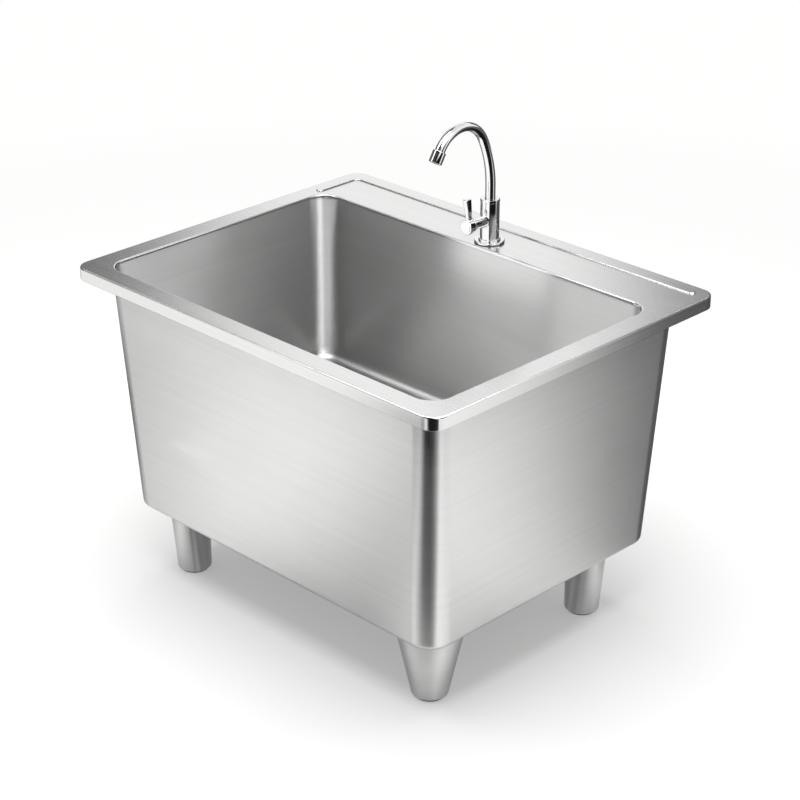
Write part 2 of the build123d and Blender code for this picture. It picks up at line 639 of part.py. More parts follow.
def make_foot_pad(leg):
    """Rubber pad around the stud's base."""
    x, y, _ = leg
    pad = disc(x, y, 0, PAD_THICKNESS, PAD_RADIUS)
    pad = fillet(level_edges(pad, 0), PAD_EDGE_RADIUS)
    return pad - disc(x, y, PAD_THICKNESS - STUD_BASE_THICKNESS, PAD_THICKNESS + 1, STUD_BASE_RADIUS)


# Waste fitting and strainer
def at_drain(low, high, outer, inner=0.0):
    """Bar or tube on the drain's axis."""
    solid = disc(0, BOWL_CENTRE_Y, low, high, outer)
    return solid - disc(0, BOWL_CENTRE_Y, low - 1, high + 1, inner) if inner else solid


def around_drain(radius, count):
    """Evenly spaced points on a circle about the drain's axis."""
    turns = [2 * math.pi * turn / count for turn in range(count)]
    return [(radius * math.cos(a), BOWL_CENTRE_Y + radius * math.sin(a)) for a in turns]


def make_drain_body():
    """Flange, cup with a ledge for the basket, and threaded spigot."""
    flange = at_drain(RECESS_TOP, DRAIN_TOP, DRAIN_FLANGE_RADIUS)
    flange = fillet(level_edges(flange, DRAIN_TOP), DRAIN_FLANGE_EDGE_RADIUS)
    body = flange + at_drain(DRAIN_BOTTOM, RECESS_TOP, DRAIN_CUP_RADIUS)
    body += at_drain(SPIGOT_END, DRAIN_BOTTOM, SPIGOT_RADIUS)
    body -= at_drain(LEDGE_LEVEL, DRAIN_TOP + 1, LEDGE_BORE)
    cup_floor = DRAIN_BOTTOM + DRAIN_FLOOR_THICKNESS
    cup = at_drain(cup_floor, LEDGE_LEVEL + 1, DRAIN_CUP_BORE)
    body -= fillet(level_edges(cup, cup_floor), DRAIN_CUP_COVE)
    return body - at_drain(SPIGOT_END - 1, cup_floor + 1, SPIGOT_BORE)


def make_drain_seal():
    """Rubber ring between the bowl and the locknut."""
    bore = DRAIN_CUP_RADIUS + DRAIN_HOLE_CLEARANCE
    return at_drain(RECESS_UNDERSIDE - DRAIN_SEAL_THICKNESS, RECESS_UNDERSIDE, DRAIN_FLANGE_RADIUS, bore)


def make_drain_locknut():
    """Large notched nut that clamps the drain to the bowl."""
    high = RECESS_UNDERSIDE - DRAIN_SEAL_THICKNESS
    low = high - LOCKNUT_HEIGHT
    nut = at_drain(low, high, LOCKNUT_RADIUS, DRAIN_CUP_RADIUS + THREAD_CLEARANCE)
    notches = around_drain(LOCKNUT_RADIUS + 1, LOCKNUT_NOTCHES)
    return nut - [disc(x, y, low - 1, high + 1, LOCKNUT_NOTCH_RADIUS) for x, y in notches]


def make_tail_washer():
    """Flat washer between the spigot and the tailpiece."""
    return at_drain(TAILPIECE_TOP, SPIGOT_END, SPIGOT_RADIUS, SPIGOT_BORE)


def make_tailpiece():
    """Flanged waste tube with a groove that keeps its nut from dropping off."""
    low = TAILPIECE_TOP - TAILPIECE_LENGTH
    groove = low + TAILPIECE_FREE_LENGTH
    tube = at_drain(low, TAILPIECE_TOP, TAILPIECE_RADIUS)
    tube -= at_drain(groove, groove + TAILPIECE_GROOVE_WIDTH, TAILPIECE_RADIUS + 1,
                     TAILPIECE_RADIUS - TAILPIECE_GROOVE_DEPTH)
    tube += at_drain(TAILPIECE_TOP - TAILPIECE_FLANGE_THICKNESS, TAILPIECE_TOP, SPIGOT_RADIUS)
    return tube - at_drain(low - 1, TAILPIECE_TOP + 1, TAILPIECE_RADIUS - TAILPIECE_WALL)


def make_slip_nut():
    """Ribbed nut that draws the tailpiece up to the spigot."""
    flange_foot = TAILPIECE_TOP - TAILPIECE_FLANGE_THICKNESS
    low, high = flange_foot - SLIP_NUT_LIP, SPIGOT_END + SLIP_NUT_GRIP
    nut = at_drain(low, high, SLIP_NUT_RADIUS)
    ribs = around_drain(SLIP_NUT_RADIUS, SLIP_NUT_RIBS)
    nut = nut + [disc(x, y, low, high, SLIP_NUT_RIB_RADIUS) for x, y in ribs]
    nut -= at_drain(flange_foot, high + 1, SPIGOT_RADIUS + THREAD_CLEARANCE)
    return nut - at_drain(low - 1, high + 1, TAILPIECE_RADIUS + SLIP_NUT_CLEARANCE)


def make_basket():
    """Perforated cup that hangs from the drain's ledge."""
    inside = BASKET_FLOOR + BASKET_SHEET
    rim_top = LEDGE_LEVEL + BASKET_RIM_THICKNESS
    cup = at_drain(BASKET_FLOOR, rim_top, BASKET_RADIUS)
    cup = fillet(level_edges(cup, BASKET_FLOOR), BASKET_EDGE_RADIUS)
    cup += at_drain(LEDGE_LEVEL, rim_top, LEDGE_BORE - BASKET_SIDE_CLEARANCE)
    hollow = at_drain(inside, rim_top + 1, BASKET_RADIUS - BASKET_SHEET)
    cup -= fillet(level_edges(hollow, inside), BASKET_EDGE_RADIUS - BASKET_SHEET)
    cuts = [at_drain(BASKET_FLOOR - 1, inside + 1, POST_RADIUS + THREAD_CLEARANCE)]
    for inset, count in zip(BASKET_RING_INSETS, BASKET_RING_HOLES):
        for x, y in around_drain(BASKET_RADIUS - inset, count):
            cuts.append(disc(x, y, BASKET_FLOOR - 1, inside + 1, BASKET_HOLE_RADIUS))
    drill = Pos(BASKET_RADIUS, 0, 0) * Rot(0, 90, 0) * Cylinder(BASKET_HOLE_RADIUS, 8 * BASKET_SHEET)
    for row, height in enumerate(BASKET_WALL_ROWS):
        for turn in range(BASKET_WALL_HOLES):
            angle = 360 / BASKET_WALL_HOLES * (turn + row / 2)
            cuts.append(Pos(0, BOWL_CENTRE_Y, BASKET_FLOOR + height) * Rot(0, 0, angle) * drill)
    return cup - cuts


def make_stopper():
    """Rubber disc under the basket."""
    low = BASKET_FLOOR - STOPPER_THICKNESS
    stopper = at_drain(low, BASKET_FLOOR, STOPPER_RADIUS)
    stopper = chamfer(level_edges(stopper, low), STOPPER_BEVEL)
    return stopper - at_drain(low - 1, BASKET_FLOOR + 1, POST_RADIUS + THREAD_CLEARANCE)


def make_post():
    """Lifting post with a round knob above and a riveted foot below."""
    knob_low = BASKET_FLOOR + KNOB_LIFT
    foot_high = BASKET_FLOOR - STOPPER_THICKNESS
    knob = at_drain(knob_low, knob_low + KNOB_HEIGHT, KNOB_RADIUS)
    knob = fillet(level_edges(knob, knob_low + KNOB_HEIGHT), KNOB_TOP_RADIUS)
    knob = fillet(level_edges(knob, knob_low), KNOB_FOOT_RADIUS)
    post = knob + at_drain(foot_high, knob_low, POST_RADIUS)
    return post + at_drain(foot_high - STOPPER_NUT_HEIGHT, foot_high, STOPPER_NUT_RADIUS)


# Tap body and fixing
def at_tap(low, high, outer, inner=0.0):
    """Bar or tube on the tap's axis, between two heights above the deck."""
    solid = disc(0, TAP_Y, RIM_TOP + low, RIM_TOP + high, outer)
    return solid - disc(0, TAP_Y, RIM_TOP + low - 1, RIM_TOP + high + 1, inner) if inner else solid


def make_tap_flange():
    """Stepped base flange."""
    low = TAP_SEAL_THICKNESS
    bore = at_tap(low - 1, BODY_FOOT + 1, SHANK_RADIUS + THREAD_CLEARANCE)
    steps = []
    for high, radius in ((low + FLANGE_THICKNESS, FLANGE_RADIUS), (BODY_FOOT, FLANGE_STEP_RADIUS)):
        plate = at_tap(low, high, radius)
        steps.append(fillet(level_edges(plate, RIM_TOP + high), FLANGE_EDGE_RADIUS))
    return steps[0] + steps[1] - bore


def make_tap_body():
    """Upright body with its valve branch, spout socket and water ways."""
    body = at_tap(BODY_FOOT, TAP_BODY_TOP, TAP_BODY_RADIUS)
    body += bar_forward(0, BRANCH_END, BRANCH_RADIUS)
    body = fillet(body.edges().filter_by(GeomType.BSPLINE), BRANCH_BLEND)
    shank_top = BODY_FOOT + SHANK_ENGAGEMENT
    body -= at_tap(BODY_FOOT - 1, shank_top, SHANK_RADIUS + THREAD_CLEARANCE)
    body -= bar_forward(SEAT_DISTANCE, BRANCH_END + 1, BRANCH_BORE)
    inlet_y = TAP_Y + INLET_OFFSET
    body -= disc(0, inlet_y, RIM_TOP + shank_top - 1, BRANCH_LEVEL + PORT_RADIUS, PORT_RADIUS)
    body -= bar_forward(-INLET_OFFSET, SEAT_DISTANCE + 1, PORT_RADIUS)
    outlet_y = TAP_Y - INLET_OFFSET
    body -= disc(0, outlet_y, BRANCH_LEVEL, RIM_TOP + SOCKET_FLOOR + 1, PORT_RADIUS)
    body -= at_tap(SOCKET_FLOOR, COUNTERBORE_FLOOR + 1, SOCKET_BORE)
    return body - at_tap(COUNTERBORE_FLOOR, TAP_BODY_TOP + 1, COUNTERBORE)


def make_shank():
    """Hollow threaded shank through the deck, with a relief groove above its inlet thread."""
    top = BODY_FOOT + SHANK_ENGAGEMENT - SHANK_END_GAP
    relief = INLET_THREAD_LENGTH - SHANK_LENGTH_BELOW
    shank = at_tap(-SHANK_LENGTH_BELOW, top, SHANK_RADIUS, SHANK_BORE)
    return shank - at_tap(relief, relief + THREAD_RELIEF_WIDTH, SHANK_RADIUS + 1,
                          SHANK_RADIUS - THREAD_RELIEF_DEPTH)


def make_tap_washer(top, thickness):
    """Flat washer on the shank under the backing plate."""
    return at_tap(top - thickness, top, TAP_WASHER_RADIUS, SHANK_RADIUS + TAP_WASHER_CLEARANCE)


def make_base_seal():
    """Rubber ring under the tap's flange."""
    outer = FLANGE_RADIUS - TAP_SEAL_INSET
    return at_tap(0, TAP_SEAL_THICKNESS, outer, SHANK_RADIUS + TAP_WASHER_CLEARANCE)


def make_tap_nut(top):
    """Hexagonal nut on the shank."""
    high = RIM_TOP + top
    return hexagon(0, TAP_Y, high - TAP_NUT_HEIGHT, high, TAP_NUT_ACROSS_FLATS,
                   SHANK_RADIUS + THREAD_CLEARANCE)


# Valve
def tube_forward(near, far, outer, inner):
    """Tube on the branch's axis."""
    return bar_forward(near, far, outer) - bar_forward(near - 1, far + 1, inner)


def make_disc(near, turn):
    """Ceramic disc with two water ports, turned about its axis."""
    plate = bar_forward(near, near + DISC_THICKNESS, DISC_RADIUS)
    for side in (-1, 1):
        x = side * DISC_PORT_OFFSET * math.cos(math.radians(turn))
        z = side * DISC_PORT_OFFSET * math.sin(math.radians(turn))
        plane = Plane(origin=(x, TAP_Y - near + 1, BRANCH_LEVEL + z), x_dir=(1, 0, 0), z_dir=(0, -1, 0))
        plate -= extrude(plane * Circle(DISC_PORT_RADIUS), DISC_THICKNESS + 2)
    return plate


def make_seat_seal():
    """Rubber ring between the body and the fixed disc."""
    return tube_forward(SEAT_DISTANCE, DISC_NEAR, CARTRIDGE_RADIUS, PORT_RADIUS)


def make_cartridge():
    """Brass housing of the quarter-turn valve, with its outlet window."""
    housing = bar_forward(DISC_NEAR, BRANCH_END, CARTRIDGE_RADIUS)
    housing -= bar_forward(DISC_NEAR - 1, CARTRIDGE_STOP, CARTRIDGE_DISC_BORE)
    housing -= bar_forward(CARTRIDGE_STOP - 1, BRANCH_END + 1, SPINDLE_RADIUS + RUNNING_CLEARANCE)
    window = Box(CARTRIDGE_WINDOW, CARTRIDGE_WINDOW, 3 * CARTRIDGE_WALL)
    return housing - Pos(0, TAP_Y - INLET_OFFSET, BRANCH_LEVEL + CARTRIDGE_RADIUS) * window


def make_spindle():
    """Valve spindle with the dog that turns the moving disc."""
    dog = bar_forward(DOG_NEAR, DOG_NEAR + SPINDLE_DOG_LENGTH, SPINDLE_DOG_RADIUS)
    stem = bar_forward(DOG_NEAR, SPINDLE_END, SPINDLE_RADIUS)
    thread = bar_forward(SPINDLE_END - SCREW_LENGTH, SPINDLE_END + 1, SCREW_RADIUS + THREAD_CLEARANCE)
    return dog + stem - thread


def make_bonnet():
    """Retaining ring on the branch's end, with a shallow groove."""
    body = bar_forward(BRANCH_END, BONNET_END, BONNET_RADIUS)
    middle = BRANCH_END + BONNET_LENGTH / 2
    body -= tube_forward(middle - BONNET_GROOVE / 2, middle + BONNET_GROOVE / 2, BONNET_RADIUS + 1,
                         BONNET_RADIUS - BONNET_GROOVE_DEPTH)
    return body - bar_forward(BRANCH_END - 1, BONNET_END + 1, SPINDLE_RADIUS + RUNNING_CLEARANCE)


# Handle
def make_lever():
    """Flared arm that rises from the hub and curves a little towards the front."""
    root_y = TAP_Y - HUB_NEAR - LEVER_ROOT_SETBACK - LEVER_ROOT_DEPTH / 2
    root_height = HUB_RADIUS / 2
    faces = []
    for share in (0.0, LEVER_WAIST, 1.0):
        width = LEVER_ROOT_WIDTH + (LEVER_TIP_WIDTH - LEVER_ROOT_WIDTH) * share
        depth = LEVER_ROOT_DEPTH + (LEVER_TIP_DEPTH - LEVER_ROOT_DEPTH) * share
        lean = LEVER_LEAN * share ** LEVER_CURVE
        height = BRANCH_LEVEL + root_height + share * (LEVER_LENGTH - root_height)
        faces.append(Pos(0, root_y - lean, height) * RectangleRounded(width, depth, LEVER_CORNER_RADIUS))
    arm = loft(faces)
    return fillet(level_edges(arm, BRANCH_LEVEL + LEVER_LENGTH), LEVER_TIP_RADIUS)


def make_handle():
    """Hub and lever, bored for the spindle, screw and cap."""
    hub = bar_forward(HUB_NEAR, HUB_END, HUB_RADIUS)
    hub = fillet(hub.edges().filter_by(GeomType.CIRCLE), HUB_EDGE_RADIUS)
    handle = hub + make_lever()
    socket = SPINDLE_END + THREAD_CLEARANCE
    handle -= bar_forward(HUB_NEAR - 1, socket, SPINDLE_RADIUS + THREAD_CLEARANCE)
    handle -= bar_forward(socket - 1, HUB_END, SCREW_RADIUS + SCREW_HEAD_GAP)
    handle -= bar_forward(SCREW_HEAD_NEAR, HUB_END, SCREW_HEAD_RADIUS + SCREW_HEAD_GAP)
    return handle - bar_forward(CAP_NEAR, HUB_END + 1, CAP_RADIUS)


def make_handle_screw():
    """Screw that holds the handle on the spindle."""
    head = bar_forward(SCREW_HEAD_NEAR, SCREW_HEAD_NEAR + SCREW_HEAD_HEIGHT, SCREW_HEAD_RADIUS)
    return head + bar_forward(SPINDLE_END - SCREW_LENGTH + 1, SCREW_HEAD_NEAR, SCREW_RADIUS)


def make_handle_cap():
    """Low domed disc that covers the screw."""
    cap = bar_forward(CAP_NEAR, HUB_END + CAP_DOME, CAP_RADIUS - CAP_CLEARANCE)
    return fillet(cap.faces().sort_by(Axis.Y)[0].edges(), CAP_DOME)


# Spout
def spout_bends():
    """Start of the spout's low bend, the point where its top bend takes over, and that bend's end."""
    start = Vector(0, TAP_Y, RIM_TOP + SPOUT_BEND_START)
    middle = bend_point(start, SPOUT_LOW_BEND_RADIUS, 0, SPOUT_LOW_BEND_ANGLE)
    end = bend_point(middle, SPOUT_TOP_BEND_RADIUS, SPOUT_LOW_BEND_ANGLE, SPOUT_TOTAL_ANGLE)
    return start, middle, end


def spout_path():
    """Centreline of the spout's tube from its tail to its tip."""
    start, middle, end = spout_bends()
    on_low = bend_point(start, SPOUT_LOW_BEND_RADIUS, 0, SPOUT_LOW_BEND_ANGLE / 2)
    half = (SPOUT_LOW_BEND_ANGLE + SPOUT_TOTAL_ANGLE) / 2
    on_top = bend_point(middle, SPOUT_TOP_BEND_RADIUS, SPOUT_LOW_BEND_ANGLE, half)
    return Wire([
        Edge.make_line(Vector(0, TAP_Y, RIM_TOP + TAIL_TOP), start),
        Edge.make_three_point_arc(start, on_low, middle),
        Edge.make_three_point_arc(middle, on_top, end),
        Edge.make_line(end, end + heading(SPOUT_TOTAL_ANGLE) * SPOUT_TIP_LENGTH),
    ])


def heading(angle):
    """Direction of travel after bending forward by an angle from straight up."""
    turn = math.radians(angle)
    return Vector(0, -math.sin(turn), math.cos(turn))


def bend_point(start, radius, first, last):
    """Point reached from start along a forward bend between two headings."""
    a, b = math.radians(first), math.radians(last)
    forward = radius * (math.cos(a) - math.cos(b))
    return start + Vector(0, -forward, radius * (math.sin(b) - math.sin(a)))


def shoulder_plane():
    """Plane across the spout's end at the aerator's shoulder."""
    along = heading(SPOUT_TOTAL_ANGLE)
    shoulder = spout_bends()[2] + along * (SPOUT_TIP_LENGTH - AERATOR_GRIP)
    return Plane(origin=shoulder, x_dir=(1, 0, 0), z_dir=along)


def sweep_round(path, radius):
    """Round bar along a path that starts upwards."""
    return sweep(Plane(origin=path @ 0, z_dir=path % 0) * Circle(radius), path=path)


def make_spout():
    """Swan-neck tube brazed to the grooved tail that turns in the body."""
    bore = SPOUT_RADIUS - SPOUT_WALL
    tail = at_tap(TAIL_FOOT, TAIL_TOP, TAIL_RADIUS, bore)
    for centre in oring_heights():
        low, high = centre - TAIL_GROOVE_WIDTH / 2, centre + TAIL_GROOVE_WIDTH / 2
        tail -= at_tap(low, high, TAIL_RADIUS + 1, SOCKET_BORE - ORING_THICKNESS)
    path = spout_path()
    return sweep_round(path, SPOUT_RADIUS) - sweep_round(path, bore) + tail


def oring_heights():
    """Heights of the two O-rings above the deck."""
    middle = (TAIL_FOOT + TAIL_TOP) / 2
    return middle - TAIL_GROOVE_PITCH / 2, middle + TAIL_GROOVE_PITCH / 2


def make_orings():
    """Two O-rings in the tail's grooves."""
    section = ORING_THICKNESS / 2 - RUNNING_CLEARANCE
    centre = SOCKET_BORE - ORING_THICKNESS / 2
    rings = [Pos(0, TAP_Y, RIM_TOP + height) * Torus(centre, section) for height in oring_heights()]
    return Compound(rings)


def make_spout_bush():
    """Plastic bush that guides the spout and holds its tail down."""
    outer = COUNTERBORE - BUSH_SIDE_CLEARANCE
    return at_tap(COUNTERBORE_FLOOR, BUSH_TOP, outer, SPOUT_RADIUS + RUNNING_CLEARANCE)


def make_collar():
    """Chrome collar that screws into the body over the bush."""
    head = at_tap(TAP_BODY_TOP, COLLAR_END, COLLAR_RADIUS)
    head = fillet(level_edges(head, RIM_TOP + COLLAR_END), COLLAR_EDGE_RADIUS)
    head = fillet(level_edges(head, RIM_TOP + TAP_BODY_TOP), COLLAR_FOOT_RADIUS)
    head += at_tap(BUSH_TOP, TAP_BODY_TOP, COUNTERBORE - THREAD_CLEARANCE)
    return head - at_tap(COUNTERBORE_FLOOR, COLLAR_END + 1, COLLAR_BORE)


# Aerator
def at_tip(near, far, radius):
    """Round bar along the spout's end, from the aerator's shoulder."""
    plane = shoulder_plane()
    return extrude(plane * Pos(0, 0, near) * Circle(radius), far - near)


def make_aerator_shell():
    """Chrome shell screwed over the spout's end."""
    shell = at_tip(0, AERATOR_LENGTH, AERATOR_RADIUS)
    shell = fillet(shell.edges().filter_by(GeomType.CIRCLE), AERATOR_EDGE_RADIUS)
    shell -= at_tip(-1, AERATOR_GRIP + 1, SPOUT_RADIUS + THREAD_CLEARANCE)
    return shell - at_tip(AERATOR_GRIP, AERATOR_LENGTH + 1, AERATOR_BORE)


def make_aerator_washer():
    """Rubber washer against the spout's end."""
    high = AERATOR_GRIP + AERATOR_WASHER_THICKNESS
    ring = at_tip(AERATOR_GRIP, high, AERATOR_BORE - THREAD_CLEARANCE)
    return ring - at_tip(0, high + 1, AERATOR_BORE - AERATOR_WASHER_WIDTH)


def make_aerator_insert():
    """Perforated plastic insert that breaks up the stream."""
    low = AERATOR_GRIP + AERATOR_WASHER_THICKNESS
    insert = at_tip(low, low + AERATOR_INSERT_LENGTH, AERATOR_BORE - THREAD_CLEARANCE)
    plane = shoulder_plane()
    cuts = []
    for radius, count in AERATOR_RINGS:
        for turn in range(count):
            angle = math.radians(360 / count * turn)
            spot = Pos(radius * math.cos(angle), radius * math.sin(angle), low - 1)
            cuts.append(extrude(plane * spot * Circle(AERATOR_HOLE_RADIUS), AERATOR_INSERT_LENGTH + 2))
    return insert - cuts


def all_parts():
    """Every piece by node name."""
    washer_top = -RIM_SHEET - BACKING_THICKNESS
    steel_top = washer_top - RUBBER_WASHER_THICKNESS
    parts = {
        "rim_deck": make_rim(),
        "bowl": make_bowl(),
        "casing": make_casing(),
        "deck_backing_plate": make_backing_plate(),
        "leg_bolts": make_leg_bolts(),
        "leg_nuts": make_leg_nuts(),
        "drain_body": make_drain_body(),
        "drain_seal": make_drain_seal(),
        "drain_locknut": make_drain_locknut(),
        "tailpiece": make_tailpiece(),
        "tailpiece_washer": make_tail_washer(),
        "tailpiece_nut": make_slip_nut(),
        "strainer_basket": make_basket(),
        "strainer_stopper": make_stopper(),
        "strainer_post": make_post(),
        "tap_base_seal": make_base_seal(),
        "tap_flange": make_tap_flange(),
        "tap_body": make_tap_body(),
        "tap_shank": make_shank(),
        "tap_rubber_washer": make_tap_washer(washer_top, RUBBER_WASHER_THICKNESS),
        "tap_steel_washer": make_tap_washer(steel_top, STEEL_WASHER_THICKNESS),
        "tap_locknut": make_tap_nut(steel_top - STEEL_WASHER_THICKNESS),
        "valve_seat_seal": make_seat_seal(),
        "valve_fixed_disc": make_disc(DISC_NEAR, 0),
        "valve_moving_disc": make_disc(MOVING_NEAR, 90),
        "valve_cartridge": make_cartridge(),
        "valve_spindle": make_spindle(),
        "valve_bonnet": make_bonnet(),
        "handle": make_handle(),
        "handle_screw": make_handle_screw(),
        "handle_cap": make_handle_cap(),
        "spout": make_spout(),
        "spout_orings": make_orings(),
        "spout_bush": make_spout_bush(),
        "spout_collar": make_collar(),
        "aerator_shell": make_aerator_shell(),
        "aerator_washer": make_aerator_washer(),
        "aerator_insert": make_aerator_insert(),
    }
    for name, leg in LEGS.items():
        parts["leg_" + name] = make_leg(leg)
        parts["corner_plate_" + name] = make_corner_plate(leg, name)
        parts["foot_bush_" + name] = make_foot_bush(leg)
        parts["foot_stud_" + name] = make_foot_stud(leg)
        parts["foot_pad_" + name] = make_foot_pad(leg)
    return parts


os.makedirs("parts", exist_ok=True)
for node, shape in all_parts().items():
    export_step(shape, os.path.join("parts", node + ".step"))
    print(node, "solids", len(shape.solids()), "volume", round(shape.volume))
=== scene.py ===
"""Looks of a free-standing stainless wash sink with a swivel tap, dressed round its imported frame."""

import json
import logging
import math
from dataclasses import dataclass
from enum import Enum

import bpy
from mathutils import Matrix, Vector


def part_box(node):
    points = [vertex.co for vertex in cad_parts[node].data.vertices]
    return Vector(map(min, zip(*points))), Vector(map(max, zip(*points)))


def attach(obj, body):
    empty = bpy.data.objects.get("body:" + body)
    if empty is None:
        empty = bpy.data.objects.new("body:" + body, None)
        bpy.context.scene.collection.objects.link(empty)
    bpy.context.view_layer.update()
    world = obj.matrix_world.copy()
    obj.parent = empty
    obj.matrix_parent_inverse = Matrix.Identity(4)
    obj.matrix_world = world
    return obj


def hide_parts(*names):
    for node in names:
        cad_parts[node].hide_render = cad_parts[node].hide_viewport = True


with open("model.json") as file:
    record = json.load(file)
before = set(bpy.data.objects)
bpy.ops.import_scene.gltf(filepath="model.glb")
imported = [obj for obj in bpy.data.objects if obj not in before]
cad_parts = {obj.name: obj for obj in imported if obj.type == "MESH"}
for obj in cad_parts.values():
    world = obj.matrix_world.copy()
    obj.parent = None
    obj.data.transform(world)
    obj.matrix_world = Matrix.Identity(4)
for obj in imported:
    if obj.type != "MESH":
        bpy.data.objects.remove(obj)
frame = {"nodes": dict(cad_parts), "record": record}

log = logging.getLogger("wash_sink")
Socket = bpy.types.NodeSocket
Colour = tuple[float, float, float]
Place = tuple[float, float, float]
Span = tuple[float, float]
Feather = tuple[float, float, float, float]

APRON_FOOT = 0.5045
LIP_FOOT = 0.5203
RIM_FADE = 0.0005
STEEP_SPAN = (0.55, 0.8)
INWARD_SPAN = (0.0, -0.05)
# Ray depths over which the painted shade of steel seen in other steel sets in.
PAINTED_SHADE_DEPTHS = (0.4, 0.6)


class Slot(Enum):
    """Material slots of the record."""

    SATIN_STEEL = "satin_steel"
    MILL_STEEL = "mill_steel"
    ZINC_STEEL = "zinc_steel"
    POLISHED_STEEL = "polished_steel"
    CHROME_PLATE = "chrome_plate"
    TURNED_BRASS = "turned_brass"
    BLACK_RUBBER = "black_rubber"
    GREY_NYLON = "grey_nylon"
    WHITE_PLASTIC = "white_plastic"
    WHITE_CERAMIC = "white_ceramic"


class Corner(Enum):
    """Corners of the sink that a leg stands at."""

    FRONT_LEFT = "front_left"
    FRONT_RIGHT = "front_right"
    BACK_LEFT = "back_left"
    BACK_RIGHT = "back_right"


class Graph:
    """Adds and joins nodes in one shader tree."""

    def __init__(self, tree: bpy.types.NodeTree) -> None:
        """Keeps the tree that nodes are added to."""
        self.tree = tree

    @classmethod
    def cleared(cls, owner: bpy.types.Material | bpy.types.World) -> "Graph":
        """Turns an owner's nodes on and empties its tree.

        Args:
            owner: A material or a world.

        Returns:
            The graph of its empty tree.
        """
        owner.use_nodes = True
        owner.node_tree.nodes.clear()
        return cls(owner.node_tree)

    def add(self, kind: str, inputs: dict | None = None, **settings: object) -> bpy.types.Node:
        """Adds one node, sets its properties, and fills or links its inputs.

        Args:
            kind: The node's type after "ShaderNode".
            inputs: Values or sockets by input name or number.
            settings: Properties of the node itself.

        Returns:
            The new node.
        """
        node = self.tree.nodes.new("ShaderNode" + kind)
        for key, value in settings.items():
            setattr(node, key, value)
        self.fill(node, inputs or {})
        return node

    def fill(self, node: bpy.types.Node, inputs: dict) -> None:
        """Fills or links a node's inputs.

        Args:
            node: The node.
            inputs: Values or sockets by input name or number.
        """
        for key, value in inputs.items():
            if isinstance(value, Socket):
                self.tree.links.new(value, node.inputs[key])
            else:
                node.inputs[key].default_value = value

    def math(self, operation: str, *values: object) -> Socket:
        """Adds a Math node and returns its result."""
        return self.add("Math", dict(enumerate(values)), operation=operation).outputs[0]

    def vector_math(self, operation: str, *values: object) -> Socket:
        """Adds a Vector Math node and returns its first result."""
        return self.add("VectorMath", dict(enumerate(values)), operation=operation).outputs[0]

    def dot(self, first: Socket, second: Socket) -> Socket:
        """Adds a dot product and returns it."""
        return self.add("VectorMath", {0: first, 1: second}, operation="DOT_PRODUCT").outputs["Value"]

    def blend(self, share: object, low: object, high: object) -> Socket:
        """Mixes two numbers by a share and returns the result."""
        return self.add("Mix", {0: share, 2: low, 3: high}, data_type="FLOAT").outputs[0]

    def blend_colour(self, share: object, low: object, high: object) -> Socket:
        """Mixes two colours by a share and returns the result."""
        return self.add("Mix", {0: share, 6: low, 7: high}, data_type="RGBA").outputs[2]

    def spread(self, value: Socket, span: Span, to_low: float, to_high: float) -> Socket:
        """Maps a value from a span to another, with its ends held."""
        inputs = {0: value, 1: span[0], 2: span[1], 3: to_low, 4: to_high}
        return self.add("MapRange", inputs, clamp=True).outputs[0]

    def ramp(self, value: Socket, span: Span, to_low: float, to_high: float) -> Socket:
        """Maps a value from a span to another along a smooth step."""
        inputs = {0: value, 1: span[0], 2: span[1], 3: to_low, 4: to_high}
        return self.add("MapRange", inputs, interpolation_type="SMOOTHSTEP").outputs[0]

    def noise(self, vector: Socket, scale: object, detail: float, rough: float = 0.5) -> Socket:
        """Adds a three-way noise and returns its value."""
        inputs = {"Vector": vector, "Scale": scale, "Detail": detail, "Roughness": rough}
        return self.add("TexNoise", inputs, noise_dimensions="3D").outputs[0]

    def plainly_seen(self) -> Socket:
        """Marks what the eye, metal or glass sees, as against what lights matt surfaces.

        Returns:
            1 for camera, glossy and transmission rays, else 0.
        """
        path = self.add("LightPath").outputs
        by_eye_or_metal = self.math("MAXIMUM", path["Is Camera Ray"], path["Is Glossy Ray"])
        return self.math("MAXIMUM", by_eye_or_metal, path["Is Transmission Ray"])


def rgba(colour: Colour) -> tuple[float, float, float, float]:
    """Adds a full alpha to a colour."""
    return (*colour, 1.0)


def scaled(colour: Colour, factor: float) -> tuple[float, float, float, float]:
    """Scales a colour, held at 1, and adds a full alpha."""
    return rgba(tuple(min(1.0, part * factor) for part in colour))


@dataclass(frozen=True)
class Masks:
    """Where a surface of the sink lies: level, facing into the bowl, or on the rim's edges."""

    level: Socket
    inward: Socket
    rim: Socket

    @classmethod
    def build(cls, graph: Graph) -> "Masks":
        """Tells the places apart by the surface's normal and its place in the frame.

        Args:
            graph: The tree that takes the nodes.

        Returns:
            The masks, each from 0 to 1.
        """
        place = graph.add("TexCoord").outputs["Object"]
        normal = graph.add("NewGeometry").outputs["Normal"]
        steep = graph.math("ABSOLUTE", graph.add("SeparateXYZ", {0: normal}).outputs[2])
        level = graph.spread(steep, STEEP_SPAN, 0.0, 1.0)
        from_middle = graph.vector_math("MULTIPLY", place, (1.0, 1.0, 0.0))
        faces_in = graph.spread(graph.dot(normal, from_middle), INWARD_SPAN, 0.0, 1.0)
        height = graph.add("SeparateXYZ", {0: place}).outputs[2]
        above = graph.math("SUBTRACT", height, graph.blend(faces_in, APRON_FOOT, LIP_FOOT))
        on_rim = graph.spread(above, (-RIM_FADE, RIM_FADE), 0.0, 1.0)
        rim = graph.math("MAXIMUM", graph.math("SUBTRACT", on_rim, level), 0.0)
        inward = graph.math("MULTIPLY", faces_in, graph.math("SUBTRACT", 1.0, rim))
        return cls(level, inward, rim)


